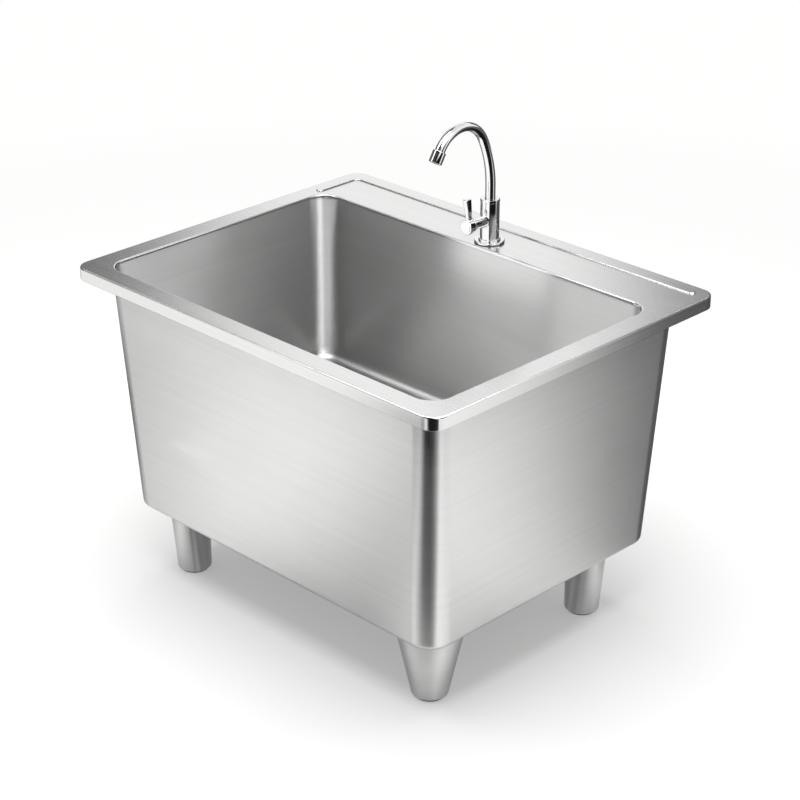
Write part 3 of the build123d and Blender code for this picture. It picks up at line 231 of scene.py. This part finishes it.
@dataclass(frozen=True)
class Effects:
    """Shader node groups that several finishes share, each built once."""

    grain: bpy.types.NodeTree
    marks: bpy.types.NodeTree
    edges: bpy.types.NodeTree

    @classmethod
    def build(cls) -> "Effects":
        """Builds every group."""
        return cls(cls._brushed_grain(), cls._handling_marks(), cls._eased_edges())

    @staticmethod
    def _group(name: str, takes: tuple[str, ...],
               gives: dict[str, str]) -> tuple[Graph, bpy.types.Node, bpy.types.Node]:
        """Starts a node group with named number inputs and named outputs.

        Args:
            name: The group's name.
            takes: The number inputs, which each finish sets.
            gives: Each output with its socket type.

        Returns:
            The group's graph, its input node and its output node.
        """
        tree = bpy.data.node_groups.new(name, "ShaderNodeTree")
        for label in takes:
            tree.interface.new_socket(label, in_out="INPUT", socket_type="NodeSocketFloat")
        for label, kind in gives.items():
            tree.interface.new_socket(label, in_out="OUTPUT", socket_type=kind)
        return Graph(tree), tree.nodes.new("NodeGroupInput"), tree.nodes.new("NodeGroupOutput")

    @classmethod
    def _brushed_grain(cls) -> bpy.types.NodeTree:
        """Fine parallel lines: level on upright faces, along X on level ones.

        Returns:
            The group, with the fine lines, broad bands of them, and masks of where the surface lies.
        """
        scales = {"Lines": 1.0, "Broad": 0.16}
        detail, rough = 3.0, 0.65
        places = ("Level", "Inward", "Rim")
        graph, source, sink = cls._group("Brushed Grain", ("Along", "Across"),
                                         {label: "NodeSocketFloat" for label in (*scales, *places)})
        masks = Masks.build(graph)
        place = graph.add("TexCoord").outputs["Object"]
        along, across = source.outputs["Along"], source.outputs["Across"]
        on_walls = graph.add("CombineXYZ", {0: along, 1: along, 2: across}).outputs[0]
        on_lands = graph.add("CombineXYZ", {0: along, 1: across, 2: along}).outputs[0]
        for label, scale in scales.items():
            wall, land = (graph.noise(graph.vector_math("MULTIPLY", place, stretch), scale, detail, rough)
                          for stretch in (on_walls, on_lands))
            graph.fill(sink, {label: graph.blend(masks.level, wall, land)})
        graph.fill(sink, dict(zip(places, (masks.level, masks.inward, masks.rim))))
        return graph.tree

    @classmethod
    def _handling_marks(cls) -> bpy.types.NodeTree:
        """Soft patches where a surface has been wiped and handled.

        Returns:
            The group, with the patches from 0 to 1.
        """
        warp_scale, warp_detail, warp_reach = 5.0, 2.0, 0.08
        cloud_detail, cloud_rough, cloud_span = 5.0, 0.6, (0.35, 0.7)
        graph, source, sink = cls._group("Handling Marks", ("Size",), {"Patches": "NodeSocketFloat"})
        place = graph.add("TexCoord").outputs["Object"]
        warp = graph.noise(place, warp_scale, warp_detail)
        where = graph.vector_math("ADD", place, graph.vector_math("MULTIPLY", warp, (warp_reach,) * 3))
        cloud = graph.noise(where, source.outputs["Size"], cloud_detail, cloud_rough)
        graph.fill(sink, {"Patches": graph.spread(cloud, cloud_span, 0.0, 1.0)})
        return graph.tree

    @classmethod
    def _eased_edges(cls) -> bpy.types.NodeTree:
        """Slightly rounded edges.

        Returns:
            The group, with the rounded normal and a mask of where it differs from the flat one.
        """
        samples, agree_span = 6, (1.0, 0.85)
        graph, source, sink = cls._group("Eased Edges", ("Radius",),
                                         {"Normal": "NodeSocketVector", "Edge": "NodeSocketFloat"})
        eased = graph.add("Bevel", {"Radius": source.outputs["Radius"]}, samples=samples).outputs[0]
        agree = graph.dot(eased, graph.add("NewGeometry").outputs["Normal"])
        graph.fill(sink, {"Normal": eased, "Edge": graph.spread(agree, agree_span, 0.0, 1.0)})
        return graph.tree


def new_material(name: str) -> tuple[bpy.types.Material, Graph, bpy.types.Node]:
    """Starts a material with a Principled shader.

    Args:
        name: The material's name.

    Returns:
        The material, its graph and its shader node.
    """
    material = bpy.data.materials.new(name)
    graph = Graph.cleared(material)
    shader = graph.add("BsdfPrincipled")
    graph.add("OutputMaterial", {"Surface": shader.outputs[0]})
    return material, graph, shader


@dataclass(frozen=True)
class BrushedSteel:
    """Stainless or zinc steel with a fine parallel grain.

    The bowl and the rim have finishes of their own only where has_bowl is set: faces into the bowl are
    duller and more stretched along the grain, and the rim's edges are glossier. bounce_painted_shade is
    painted shade: it darkens the steel's colour where it's seen in other steel, which darkens the bowl's
    inside.
    """

    slot: Slot
    colour: Colour
    roughness: float
    anisotropy: float
    along: float = 6.0
    across: float = 900.0
    grain_depth: float = 0.00001
    grain_strength: float = 0.12
    level_gloss: float = 0.0
    has_bowl: bool = False
    inward_dullness: float = 0.09
    inward_anisotropy: float = 0.97
    rim_gloss: float = 0.19
    # Painted shade: the share of the colour kept where the steel is seen in other steel.
    bounce_painted_shade: float = 1.0
    line_span: Span = (0.3, 0.7)
    line_shade: float = 0.025
    broad_shade: float = 0.02
    line_dullness: float = 0.03
    mark_size: float = 9.0
    mark_dullness: float = 0.035
    edge_radius: float = 0.0006
    edge_gloss: float = 0.08
    # Along the edges the colour is brightened: partly rubbed wear, partly a painted highlight.
    edge_wear_and_highlight_gain: float = 1.08
    edge_wear_and_highlight_share: float = 0.7
    grain_turn: float = 0.25

    def make(self, effects: Effects) -> bpy.types.Material:
        """Builds the material.

        Args:
            effects: The shared shader groups.

        Returns:
            The finished material.
        """
        material, graph, shader = new_material(self.slot.value)
        grain = graph.add("Group", {"Along": self.along, "Across": self.across}, node_tree=effects.grain)
        marks = graph.add("Group", {"Size": self.mark_size}, node_tree=effects.marks).outputs["Patches"]
        edges = graph.add("Group", {"Radius": self.edge_radius}, node_tree=effects.edges).outputs
        lines = graph.spread(grain.outputs["Lines"], self.line_span, -1.0, 1.0)
        broad = graph.spread(grain.outputs["Broad"], self.line_span, -1.0, 1.0)
        rough = graph.math("MULTIPLY_ADD", lines, self.line_dullness, self.roughness)
        rough = graph.math("MULTIPLY_ADD", marks, self.mark_dullness, rough)
        rough = graph.math("MULTIPLY_ADD", edges["Edge"], -self.edge_gloss, rough)
        rough = graph.math("MULTIPLY_ADD", grain.outputs["Level"], -self.level_gloss, rough)
        if self.has_bowl:
            rough = graph.math("MULTIPLY_ADD", grain.outputs["Inward"], self.inward_dullness, rough)
            rough = graph.math("MULTIPLY_ADD", grain.outputs["Rim"], -self.rim_gloss, rough)
        bump = graph.add("Bump", {"Height": lines, "Strength": self.grain_strength,
                                  "Distance": self.grain_depth, "Normal": edges["Normal"]})
        tangent = graph.add("Tangent", direction_type="RADIAL", axis="Z")
        graph.fill(shader, {
            "Base Color": self._tone(graph, lines, broad, edges["Edge"]),
            "Roughness": rough,
            "Normal": bump.outputs[0],
            "Metallic": 1.0,
            "Anisotropic": self._stretch(graph),
            "Anisotropic Rotation": self.grain_turn,
            "Tangent": tangent.outputs[0],
        })
        return material

    def _tone(self, graph: Graph, lines: Socket, broad: Socket, edge: Socket) -> Socket:
        """Colours the steel by its lines, brightens it along the edges as wear and painted highlight, and
        paints shade into it where it's seen in reflections.

        Args:
            graph: The material's graph.
            lines: Fine lines, from -1 to 1.
            broad: Broad bands, from -1 to 1.
            edge: Mask of the edges.

        Returns:
            The base colour.
        """
        bands = graph.math("MULTIPLY_ADD", broad, self.broad_shade, 1.0)
        shade = graph.math("MULTIPLY_ADD", lines, self.line_shade, bands)
        tone = graph.add("VectorMath", {0: self.colour, "Scale": shade}, operation="SCALE").outputs[0]
        # Painted highlight, partly wear: the colour is brightened along the edges.
        highlight_and_wear_share = graph.math("MULTIPLY", edge, self.edge_wear_and_highlight_share)
        worn_and_highlit = graph.blend_colour(highlight_and_wear_share, tone, scaled(self.colour, self.edge_wear_and_highlight_gain))
        if self.bounce_painted_shade == 1.0:
            return worn_and_highlit
        # Painted shade: past the first bounce the colour is darkened, so steel seen in other steel, as
        # inside the bowl, looks darker.
        depth = graph.add("LightPath").outputs["Ray Depth"]
        return graph.vector_math("MULTIPLY", worn_and_highlit, graph.spread(depth, PAINTED_SHADE_DEPTHS, 1.0, self.bounce_painted_shade))

    def _stretch(self, graph: Graph) -> Socket | float:
        """Stretches highlights along the grain, but not on level faces and the rim's edges.

        The masks are built here once more, because a node group's outputs don't feed this socket.

        Args:
            graph: The material's graph.

        Returns:
            The anisotropy, as a plain number where it's the same all over.
        """
        if self.anisotropy == 0.0:
            return 0.0
        masks = Masks.build(graph)
        if not self.has_bowl:
            return graph.blend(masks.level, self.anisotropy, 0.0)
        along = graph.blend(masks.inward, self.anisotropy, self.inward_anisotropy)
        return graph.blend(graph.math("MAXIMUM", masks.level, masks.rim), along, 0.0)


@dataclass(frozen=True)
class Polished:
    """Bright plated or polished metal, with faint wipe marks."""

    slot: Slot
    colour: Colour
    roughness: float
    mark_size: float = 60.0
    mark_dullness: float = 0.04
    mark_shade: float = 0.96
    edge_radius: float = 0.0004

    def make(self, effects: Effects) -> bpy.types.Material:
        """Builds the material.

        Args:
            effects: The shared shader groups.

        Returns:
            The finished material.
        """
        material, graph, shader = new_material(self.slot.value)
        marks = graph.add("Group", {"Size": self.mark_size}, node_tree=effects.marks).outputs["Patches"]
        edges = graph.add("Group", {"Radius": self.edge_radius}, node_tree=effects.edges)
        tone = graph.blend_colour(marks, rgba(self.colour), scaled(self.colour, self.mark_shade))
        graph.fill(shader, {
            "Base Color": tone,
            "Roughness": graph.math("MULTIPLY_ADD", marks, self.mark_dullness, self.roughness),
            "Normal": edges.outputs["Normal"],
            "Metallic": 1.0,
        })
        return material


@dataclass(frozen=True)
class Moulded:
    """Rubber, plastic or ceramic with a fine moulded texture."""

    slot: Slot
    colour: Colour
    roughness: float
    pebble: float = 900.0
    pebble_detail: float = 3.0
    pebble_depth: float = 0.0001
    pebble_strength: float = 0.3
    pebble_dullness: float = 0.15
    mark_size: float = 9.0
    mark_shade: float = 0.85

    def make(self, effects: Effects) -> bpy.types.Material:
        """Builds the material.

        Args:
            effects: The shared shader groups.

        Returns:
            The finished material.
        """
        material, graph, shader = new_material(self.slot.value)
        fine = graph.noise(graph.add("TexCoord").outputs["Object"], self.pebble, self.pebble_detail)
        marks = graph.add("Group", {"Size": self.mark_size}, node_tree=effects.marks).outputs["Patches"]
        bump = graph.add("Bump", {"Height": fine, "Strength": self.pebble_strength,
                                  "Distance": self.pebble_depth})
        tone = graph.blend_colour(marks, rgba(self.colour), scaled(self.colour, self.mark_shade))
        graph.fill(shader, {
            "Base Color": tone,
            "Roughness": graph.math("MULTIPLY_ADD", fine, self.pebble_dullness, self.roughness),
            "Normal": bump.outputs[0],
        })
        return material


FINISHES = (
    # The satin steel paints shade into its colour where it's seen in other steel, which darkens the inside
    # of the bowl.
    BrushedSteel(Slot.SATIN_STEEL, (0.82, 0.82, 0.815), 0.35, 0.8, level_gloss=0.11, has_bowl=True,
                 bounce_painted_shade=0.42),
    BrushedSteel(Slot.MILL_STEEL, (0.62, 0.62, 0.61), 0.45, 0.3, along=12.0, across=300.0),
    BrushedSteel(Slot.ZINC_STEEL, (0.68, 0.7, 0.72), 0.38, 0.0, along=40.0, across=60.0),
    Polished(Slot.POLISHED_STEEL, (0.82, 0.82, 0.815), 0.14),
    Polished(Slot.CHROME_PLATE, (0.9, 0.905, 0.915), 0.03),
    Polished(Slot.TURNED_BRASS, (0.83, 0.66, 0.36), 0.25),
    Moulded(Slot.BLACK_RUBBER, (0.03, 0.03, 0.03), 0.6),
    Moulded(Slot.GREY_NYLON, (0.33, 0.34, 0.35), 0.45),
    Moulded(Slot.WHITE_PLASTIC, (0.82, 0.82, 0.8), 0.4),
    Moulded(Slot.WHITE_CERAMIC, (0.9, 0.89, 0.86), 0.15),
)

Wardrobe = dict[Slot, bpy.types.Material]


def show(name: str, mesh: bpy.types.Mesh, material: bpy.types.Material) -> bpy.types.Object:
    """Puts a mesh of one material into the scene.

    Args:
        name: The object's name.
        mesh: Its mesh.
        material: Its material.

    Returns:
        The new object.
    """
    thing = bpy.data.objects.new(name, mesh)
    bpy.context.scene.collection.objects.link(thing)
    mesh.materials.append(material)
    return thing


@dataclass(frozen=True)
class SubAssembly:
    """Pieces of the frame that make up one part of the sink."""

    pieces: tuple[str, ...]

    def dress(self, wardrobe: Wardrobe, slots: dict[str, Slot]) -> None:
        """Gives each piece the finish of its slot.

        Args:
            wardrobe: The finished materials.
            slots: The record's slot of each piece.
        """
        for node in self.pieces:
            materials = frame["nodes"][node].data.materials
            materials.clear()
            materials.append(wardrobe[slots[node]])
            log.info("dressed %s in %s", node, slots[node].value)


@dataclass(frozen=True)
class SinkBody(SubAssembly):
    """Rim and deck, bowl, outer casing and the plate under the tap hole."""

    pieces: tuple[str, ...] = ("rim_deck", "bowl", "casing", "deck_backing_plate")


@dataclass(frozen=True)
class Waste(SubAssembly):
    """Drain with its seal, nuts and tailpiece, and the basket that lifts out."""

    pieces: tuple[str, ...] = ("drain_body", "drain_seal", "drain_locknut", "tailpiece", "tailpiece_washer",
                               "tailpiece_nut", "strainer_basket", "strainer_stopper", "strainer_post")


@dataclass(frozen=True)
class Tap(SubAssembly):
    """Tap body, its fixings under the deck, the quarter-turn valve, the lever and the spout."""

    pieces: tuple[str, ...] = (
        "tap_base_seal", "tap_flange", "tap_body", "tap_shank", "tap_rubber_washer", "tap_steel_washer",
        "tap_locknut", "valve_seat_seal", "valve_fixed_disc", "valve_moving_disc", "valve_cartridge",
        "valve_spindle", "valve_bonnet", "handle", "handle_screw", "handle_cap", "spout", "spout_orings",
        "spout_bush", "spout_collar", "aerator_shell", "aerator_washer", "aerator_insert",
    )


@dataclass(frozen=True)
class FootStud:
    """Levelling stud with a cut thread, standing for the plain one of the frame."""

    corner: str
    radius: float = 0.006
    base_thickness: float = 0.0015
    pitch: float = 0.00175
    depth: float = 0.0010
    point: float = 0.0018
    sides: int = 32
    rows_per_turn: int = 8

    @property
    def node(self) -> str:
        """The frame's node that the stud stands for."""
        return f"foot_stud_{self.corner}"

    def build(self, finish: bpy.types.Material) -> None:
        """Builds the stud in its place and lets it ride on its foot.

        Args:
            finish: The stud's material.
        """
        low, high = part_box(self.node)
        middle = Vector(((low[0] + high[0]) / 2, (low[1] + high[1]) / 2, 0.0))
        rings = self._rings(low[2], high[2], (high[0] - low[0]) / 2)
        places = [middle + place for ring in rings for place in ring]
        name = f"{self.node}_threaded"
        mesh = bpy.data.meshes.new(name)
        mesh.from_pydata(places, [], self._faces(len(rings)))
        stud = show(name, mesh, finish)
        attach(stud, f"foot_{self.corner}")
        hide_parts(self.node)
        log.info("cut the thread of %s", self.node)

    def _faces(self, rings: int) -> list[tuple[int, ...]]:
        """Joins the rings with four-sided faces and closes both ends.

        Args:
            rings: How many rings there are.

        Returns:
            The corners' numbers of each face.
        """
        top = (rings - 1) * self.sides
        faces = [tuple(range(self.sides - 1, -1, -1))]
        for first in range(0, top, self.sides):
            for side in range(self.sides):
                here, after = first + side, first + (side + 1) % self.sides
                faces.append((here, after, after + self.sides, here + self.sides))
        return faces + [tuple(range(top, top + self.sides))]

    def _rings(self, foot: float, top: float, base_radius: float) -> list[list[Vector]]:
        """Lays out the stud's rings from the base's underside to the point.

        Args:
            foot: Height of the base's underside.
            top: Height of the stud's end.
            base_radius: Radius of the base.

        Returns:
            The rings of corners, from the bottom up.
        """
        start = foot + self.base_thickness
        rings = [self._ring(foot, base_radius), self._ring(start, base_radius)]
        rings.append(self._ring(start, self.radius - self.depth))
        step = self.pitch / self.rows_per_turn
        for row in range(1, round((top - start) / step)):
            height = start + row * step
            near_end = max(0.0, 1.0 - (top - height) / self.point)
            rings.append(self._thread_ring(height, near_end))
        rings.append(self._ring(top, self.radius - 2 * self.depth))
        return rings

    def _ring(self, height: float, radius: float) -> list[Vector]:
        """Lays out a round ring of corners."""
        turns = (2 * math.pi * side / self.sides for side in range(self.sides))
        return [Vector((radius * math.cos(turn), radius * math.sin(turn), height)) for turn in turns]

    def _thread_ring(self, height: float, near_end: float) -> list[Vector]:
        """Lays out one ring of the thread, which sinks towards the stud's point.

        Args:
            height: Height of the ring.
            near_end: 0 along the stud, rising to 1 at its point.

        Returns:
            The ring's corners.
        """
        ring = []
        end_radius = self.radius - 2 * self.depth * near_end
        for side in range(self.sides):
            share = side / self.sides
            crest = abs(2.0 * ((height / self.pitch - share) % 1.0) - 1.0)
            radius = min(self.radius - self.depth * (1.0 - crest), end_radius)
            turn = 2 * math.pi * share
            ring.append(Vector((radius * math.cos(turn), radius * math.sin(turn), height)))
        return ring


@dataclass(frozen=True)
class Legs(SubAssembly):
    """Four legs with their corner plates, bolts, nuts, bushes, studs and pads."""

    pieces: tuple[str, ...] = ("leg_bolts", "leg_nuts") + tuple(
        f"{kind}_{corner.value}" for corner in Corner
        for kind in ("leg", "corner_plate", "foot_bush", "foot_stud", "foot_pad")
    )

    def dress(self, wardrobe: Wardrobe, slots: dict[str, Slot]) -> None:
        """Gives each piece its finish and cuts the studs' threads.

        Args:
            wardrobe: The finished materials.
            slots: The record's slot of each piece.
        """
        super().dress(wardrobe, slots)
        for corner in Corner:
            FootStud(corner.value).build(wardrobe[Slot.ZINC_STEEL])


@dataclass(frozen=True)
class Camera:
    """The camera at the photograph's place."""

    place: Place = (2.12757, -2.12073, 1.76537)
    azimuth: float = 44.828
    elevation: float = 25.618
    lens: float = 97.83
    sensor: float = 36.0
    sight: Span = (0.1, 60.0)

    def build(self) -> None:
        """Adds the camera and makes it the scene's own."""
        data = bpy.data.cameras.new("camera")
        data.lens, data.sensor_width = self.lens, self.sensor
        data.clip_start, data.clip_end = self.sight
        camera = bpy.data.objects.new("camera", data)
        turn, rise = math.radians(self.azimuth), math.radians(self.elevation)
        back = Vector((math.sin(turn) * math.cos(rise), -math.cos(turn) * math.cos(rise), math.sin(rise)))
        camera.location = self.place
        camera.rotation_euler = (-back).to_track_quat("-Z", "Y").to_euler()
        bpy.context.scene.collection.objects.link(camera)
        bpy.context.scene.camera = camera


TOWARDS = Vector((0.704, -0.71, 0.0))
RIGHT = Vector((0.71, 0.704, 0.0))


@dataclass(frozen=True)
class Card:
    """Shaded card round the object, which only shows in its reflections.

    Each corner is a distance towards the camera, one to the camera's right and a height. The feather
    holds the shares of the card over which it fades: at the start and the end of its first edge, then
    at that edge and at the one across from it.
    """

    name: str
    corners: tuple[Place, ...]
    shade: float
    feather: Feather

    @classmethod
    def level(cls, name: str, nears: Span, sides: Span, height: float, shade: float,
              feather: Feather) -> "Card":
        """Lays a card level.

        Args:
            name: The card's name.
            nears: Its back and front, as distances towards the camera.
            sides: Its left and right.
            height: Its height.
            shade: Its brightness.
            feather: Its fading edges.

        Returns:
            The card, with its back as the first edge.
        """
        (back, front), (left, right) = nears, sides
        corners = tuple((near, side, height) for near, side in
                        ((back, left), (back, right), (front, right), (front, left)))
        return cls(name, corners, shade, feather)

    @classmethod
    def upright(cls, name: str, first: Span, last: Span, low: float, high: float, shade: float,
                feather: Feather) -> "Card":
        """Stands a card on the line between two floor points, with its lower edge as the first."""
        return cls(name, ((*first, low), (*last, low), (*last, high), (*first, high)), shade, feather)

    def build(self) -> None:
        """Adds the card, with its edges fading out."""
        mesh = bpy.data.meshes.new(self.name)
        places = [TOWARDS * near + RIGHT * side + Vector((0.0, 0.0, high))
                  for near, side, high in self.corners]
        mesh.from_pydata(places, [], [(0, 1, 2, 3)])
        layer = mesh.uv_layers.new(name="across")
        for corner, place in zip(layer.data, ((0, 0), (1, 0), (1, 1), (0, 1))):
            corner.uv = place
        card = show(self.name, mesh, self._material())
        card.visible_camera = card.visible_diffuse = card.visible_shadow = False

    def _material(self) -> bpy.types.Material:
        """Even shade that thins to nothing at the feathered edges.

        Returns:
            The card's material.
        """
        material = bpy.data.materials.new(self.name)
        graph = Graph.cleared(material)
        along, across = graph.add("SeparateXYZ", {0: graph.add("TexCoord").outputs["UV"]}).outputs[:2]
        cover = 1.0
        for where, first, last in ((along, *self.feather[:2]), (across, *self.feather[2:])):
            if first:
                cover = graph.math("MULTIPLY", cover, graph.ramp(where, (0.0, first), 0.0, 1.0))
            if last:
                cover = graph.math("MULTIPLY", cover, graph.ramp(where, (1.0 - last, 1.0), 1.0, 0.0))
        clear = graph.add("BsdfTransparent").outputs[0]
        shade = graph.add("Emission", {"Color": rgba((self.shade,) * 3)}).outputs[0]
        both = graph.add("MixShader", {0: cover, 1: clear, 2: shade})
        graph.add("OutputMaterial", {"Surface": both.outputs[0]})
        return material


ON_FLOOR = 0.004
UNDER_CARDS = 0.003

CARDS = (
    Card.level("floor_right", (-1.8, 0.42), (0.42, 2.1), ON_FLOOR, 0.08, (0.05, 0.0, 0.0, 0.22)),
    Card.upright("side_right", (-1.8, 2.1), (0.42, 2.1), 0.0, 2.0, 0.12, (0.0, 0.22, 0.0, 0.0)),
    Card.level("floor_left", (-1.8, 0.2), (-1.35, -0.42), ON_FLOOR, 0.08, (0.3, 0.05, 0.0, 0.34)),
    Card.upright("side_left", (-1.8, -2.1), (0.2, -2.1), 0.0, 2.0, 0.12, (0.0, 0.34, 0.0, 0.0)),
    Card.level("floor_left_front", (0.2, 1.1), (-1.2, -0.42), ON_FLOOR, 0.3, (0.3, 0.05, 0.4, 0.2)),
    Card.upright("side_left_front", (0.3, -2.1), (1.8, -2.1), 0.0, 2.0, 0.3, (0.2, 0.0, 0.0, 0.0)),
    Card.level("ceiling_left", (-1.2, -0.16), (-2.1, 0.0), 2.0, 0.02, (0.0, 0.0, 0.3, 0.25)),
    Card.level("ceiling_right", (-1.2, 0.03), (0.0, 2.1), 2.0, 0.02, (0.0, 0.0, 0.3, 0.33)),
    Card.level("ceiling_left_front", (0.3, 1.8), (-2.1, 0.15), 2.0, 0.05, (0.0, 0.15, 0.15, 0.0)),
    Card.level("overhead_light", (-0.3, 1.8), (-2.1, 2.1), 2.02, 5.0, (0.0, 0.0, 0.1, 0.2)),
    Card.upright("back_left", (-1.8, -2.1), (-1.8, -0.2), 0.2, 2.0, 0.12, (0.0, 0.3, 0.0, 0.0)),
    Card.upright("back_right", (-1.8, 0.35), (-1.8, 2.1), 0.2, 2.0, 0.12, (0.3, 0.0, 0.0, 0.0)),
    Card("floor_front", ((0.5, -0.35, ON_FLOOR), (0.5, 0.1, ON_FLOOR), (2.4, 1.3, ON_FLOOR),
                         (2.4, -1.5, ON_FLOOR)), 0.01, (0.12, 0.12, 0.0, 0.0)),
    Card.upright("front", (1.6, -2.1), (2.4, 0.75), 0.0, 3.0, 0.02, (0.1, 0.2, 0.0, 0.0)),
    # Painted shadow: a dark card under the sink, where the floor lies in its shade, seen only in
    # reflections.
    Card.level("floor_under", (-0.5, 0.45), (-0.5, 0.45), UNDER_CARDS, 0.28, (0.25, 0.2, 0.2, 0.15)),
    Card.upright("front_right", (1.7, 0.86), (0.62, 1.9), 0.0, 1.2, 0.01, (0.2, 0.2, 0.0, 0.1)),
    Card.upright("tap_light", (-0.193, 0.008), (-0.006, 0.132), 0.46, 0.655, 1.1, (0.3, 0.08, 0.05, 0.05)),
    Card.upright("tap_dark", (-0.099, 0.148), (-0.131, 0.203), 0.55, 0.705, 0.01, (0.06, 0.15, 0.1, 0.05)),
    Card.upright("spout_dark", (-0.021, 0.07), (-0.046, 0.113), 0.64, 0.71, 0.01, (0.1, 0.15, 0.1, 0.1)),
    Card.upright("tap_side", (-0.35, 0.42), (0.1, 0.42), 0.74, 1.4, 0.95, (0.1, 0.1, 0.05, 0.05)),
    Card.level("tap_top", (-0.3, 0.1), (0.1, 0.42), 1.0, 0.8, (0.1, 0.1, 0.1, 0.1)),
    Card.level("bowl_light", (-0.25, 0.15), (-0.36, -0.08), 0.262, 1.0, (0.2, 0.2, 0.2, 0.2)),
)


@dataclass(frozen=True)
class Studio:
    """Plain pale floor and soft light."""

    floor_half: float = 12.0
    floor_colour: Colour = (0.96, 0.96, 0.955)
    floor_glow: Colour = (1.0, 1.0, 0.995)
    shadow_lift: float = 0.33
    shadow_span: Span = (0.7, 2.4)
    sky_on_matt: float = 0.45
    lamp_place: Place = (0.0, -0.2, 2.6)
    lamp_target: Place = (0.0, 0.0, 0.3)
    lamp_size: float = 2.4
    lamp_power: float = 84.0

    def build(self) -> None:
        """Builds the surroundings, the floor, the cards and the lamp."""
        self._surroundings()
        self._floor()
        for card in CARDS:
            card.build()
        self._lamp()
        bpy.context.scene.view_settings.view_transform = "Standard"

    def _surroundings(self) -> None:
        """Makes the world white to the eye and in metal, and dimmer on matt surfaces."""
        world = bpy.data.worlds.new("surroundings")
        bpy.context.scene.world = world
        world.cycles.sampling_method = "NONE"
        graph = Graph.cleared(world)
        strength = graph.blend(graph.plainly_seen(), self.sky_on_matt, 1.0)
        back = graph.add("Background", {"Color": rgba((1.0, 1.0, 1.0)), "Strength": strength})
        graph.add("OutputWorld", {"Surface": back.outputs[0]})

    def _floor(self) -> None:
        """Lays a large level floor, white to the eye but for the shadow on it."""
        mesh = bpy.data.meshes.new("floor")
        half = self.floor_half
        corners = [(-half, -half, 0.0), (half, -half, 0.0), (half, half, 0.0), (-half, half, 0.0)]
        mesh.from_pydata(corners, [], [(0, 1, 2, 3)])
        material = bpy.data.materials.new("floor")
        graph = Graph.cleared(material)
        matt = graph.add("BsdfDiffuse", {"Color": rgba(self.floor_colour)}).outputs[0]
        glow = graph.add("Emission", {"Color": rgba(self.floor_glow)}).outputs[0]
        place = graph.add("NewGeometry").outputs["Position"]
        away = graph.add("VectorMath", {0: place}, operation="LENGTH").outputs["Value"]
        lift = graph.spread(away, self.shadow_span, self.shadow_lift, 1.0)
        share = graph.math("MULTIPLY", graph.plainly_seen(), lift)
        both = graph.add("MixShader", {0: share, 1: matt, 2: glow})
        graph.add("OutputMaterial", {"Surface": both.outputs[0]})
        floor = show("floor", mesh, material)

    def _lamp(self) -> None:
        """Hangs one square soft lamp over the sink, which only the overhead card stands for in metal."""
        data = bpy.data.lights.new("overhead", "AREA")
        data.shape, data.size, data.energy = "SQUARE", self.lamp_size, self.lamp_power
        lamp = bpy.data.objects.new("overhead", data)
        lamp.visible_glossy = False
        lamp.location = self.lamp_place
        aim = Vector(self.lamp_target) - Vector(self.lamp_place)
        lamp.rotation_euler = aim.to_track_quat("-Z", "Y").to_euler()
        bpy.context.scene.collection.objects.link(lamp)


def slots_of_nodes(record: dict) -> dict[str, Slot]:
    """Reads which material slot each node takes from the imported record."""
    return {part["node"]: Slot(part["material_slot"]) for part in record["subparts"]}


def main() -> None:
    """Dresses the parts of the sink in order, then builds the studio and the camera."""
    logging.basicConfig(level=logging.INFO, format="%(message)s")
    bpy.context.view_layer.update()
    effects = Effects.build()
    wardrobe = {finish.slot: finish.make(effects) for finish in FINISHES}
    slots = slots_of_nodes(frame["record"])
    parts = (SinkBody(), Waste(), Tap(), Legs())
    for part in parts:
        part.dress(wardrobe, slots)
    for node in sorted(set(frame["nodes"]) - {piece for part in parts for piece in part.pieces}):
        log.warning("no part of the sink dresses %s", node)
    Studio().build()
    Camera().build()


if __name__ == "__main__":
    main()
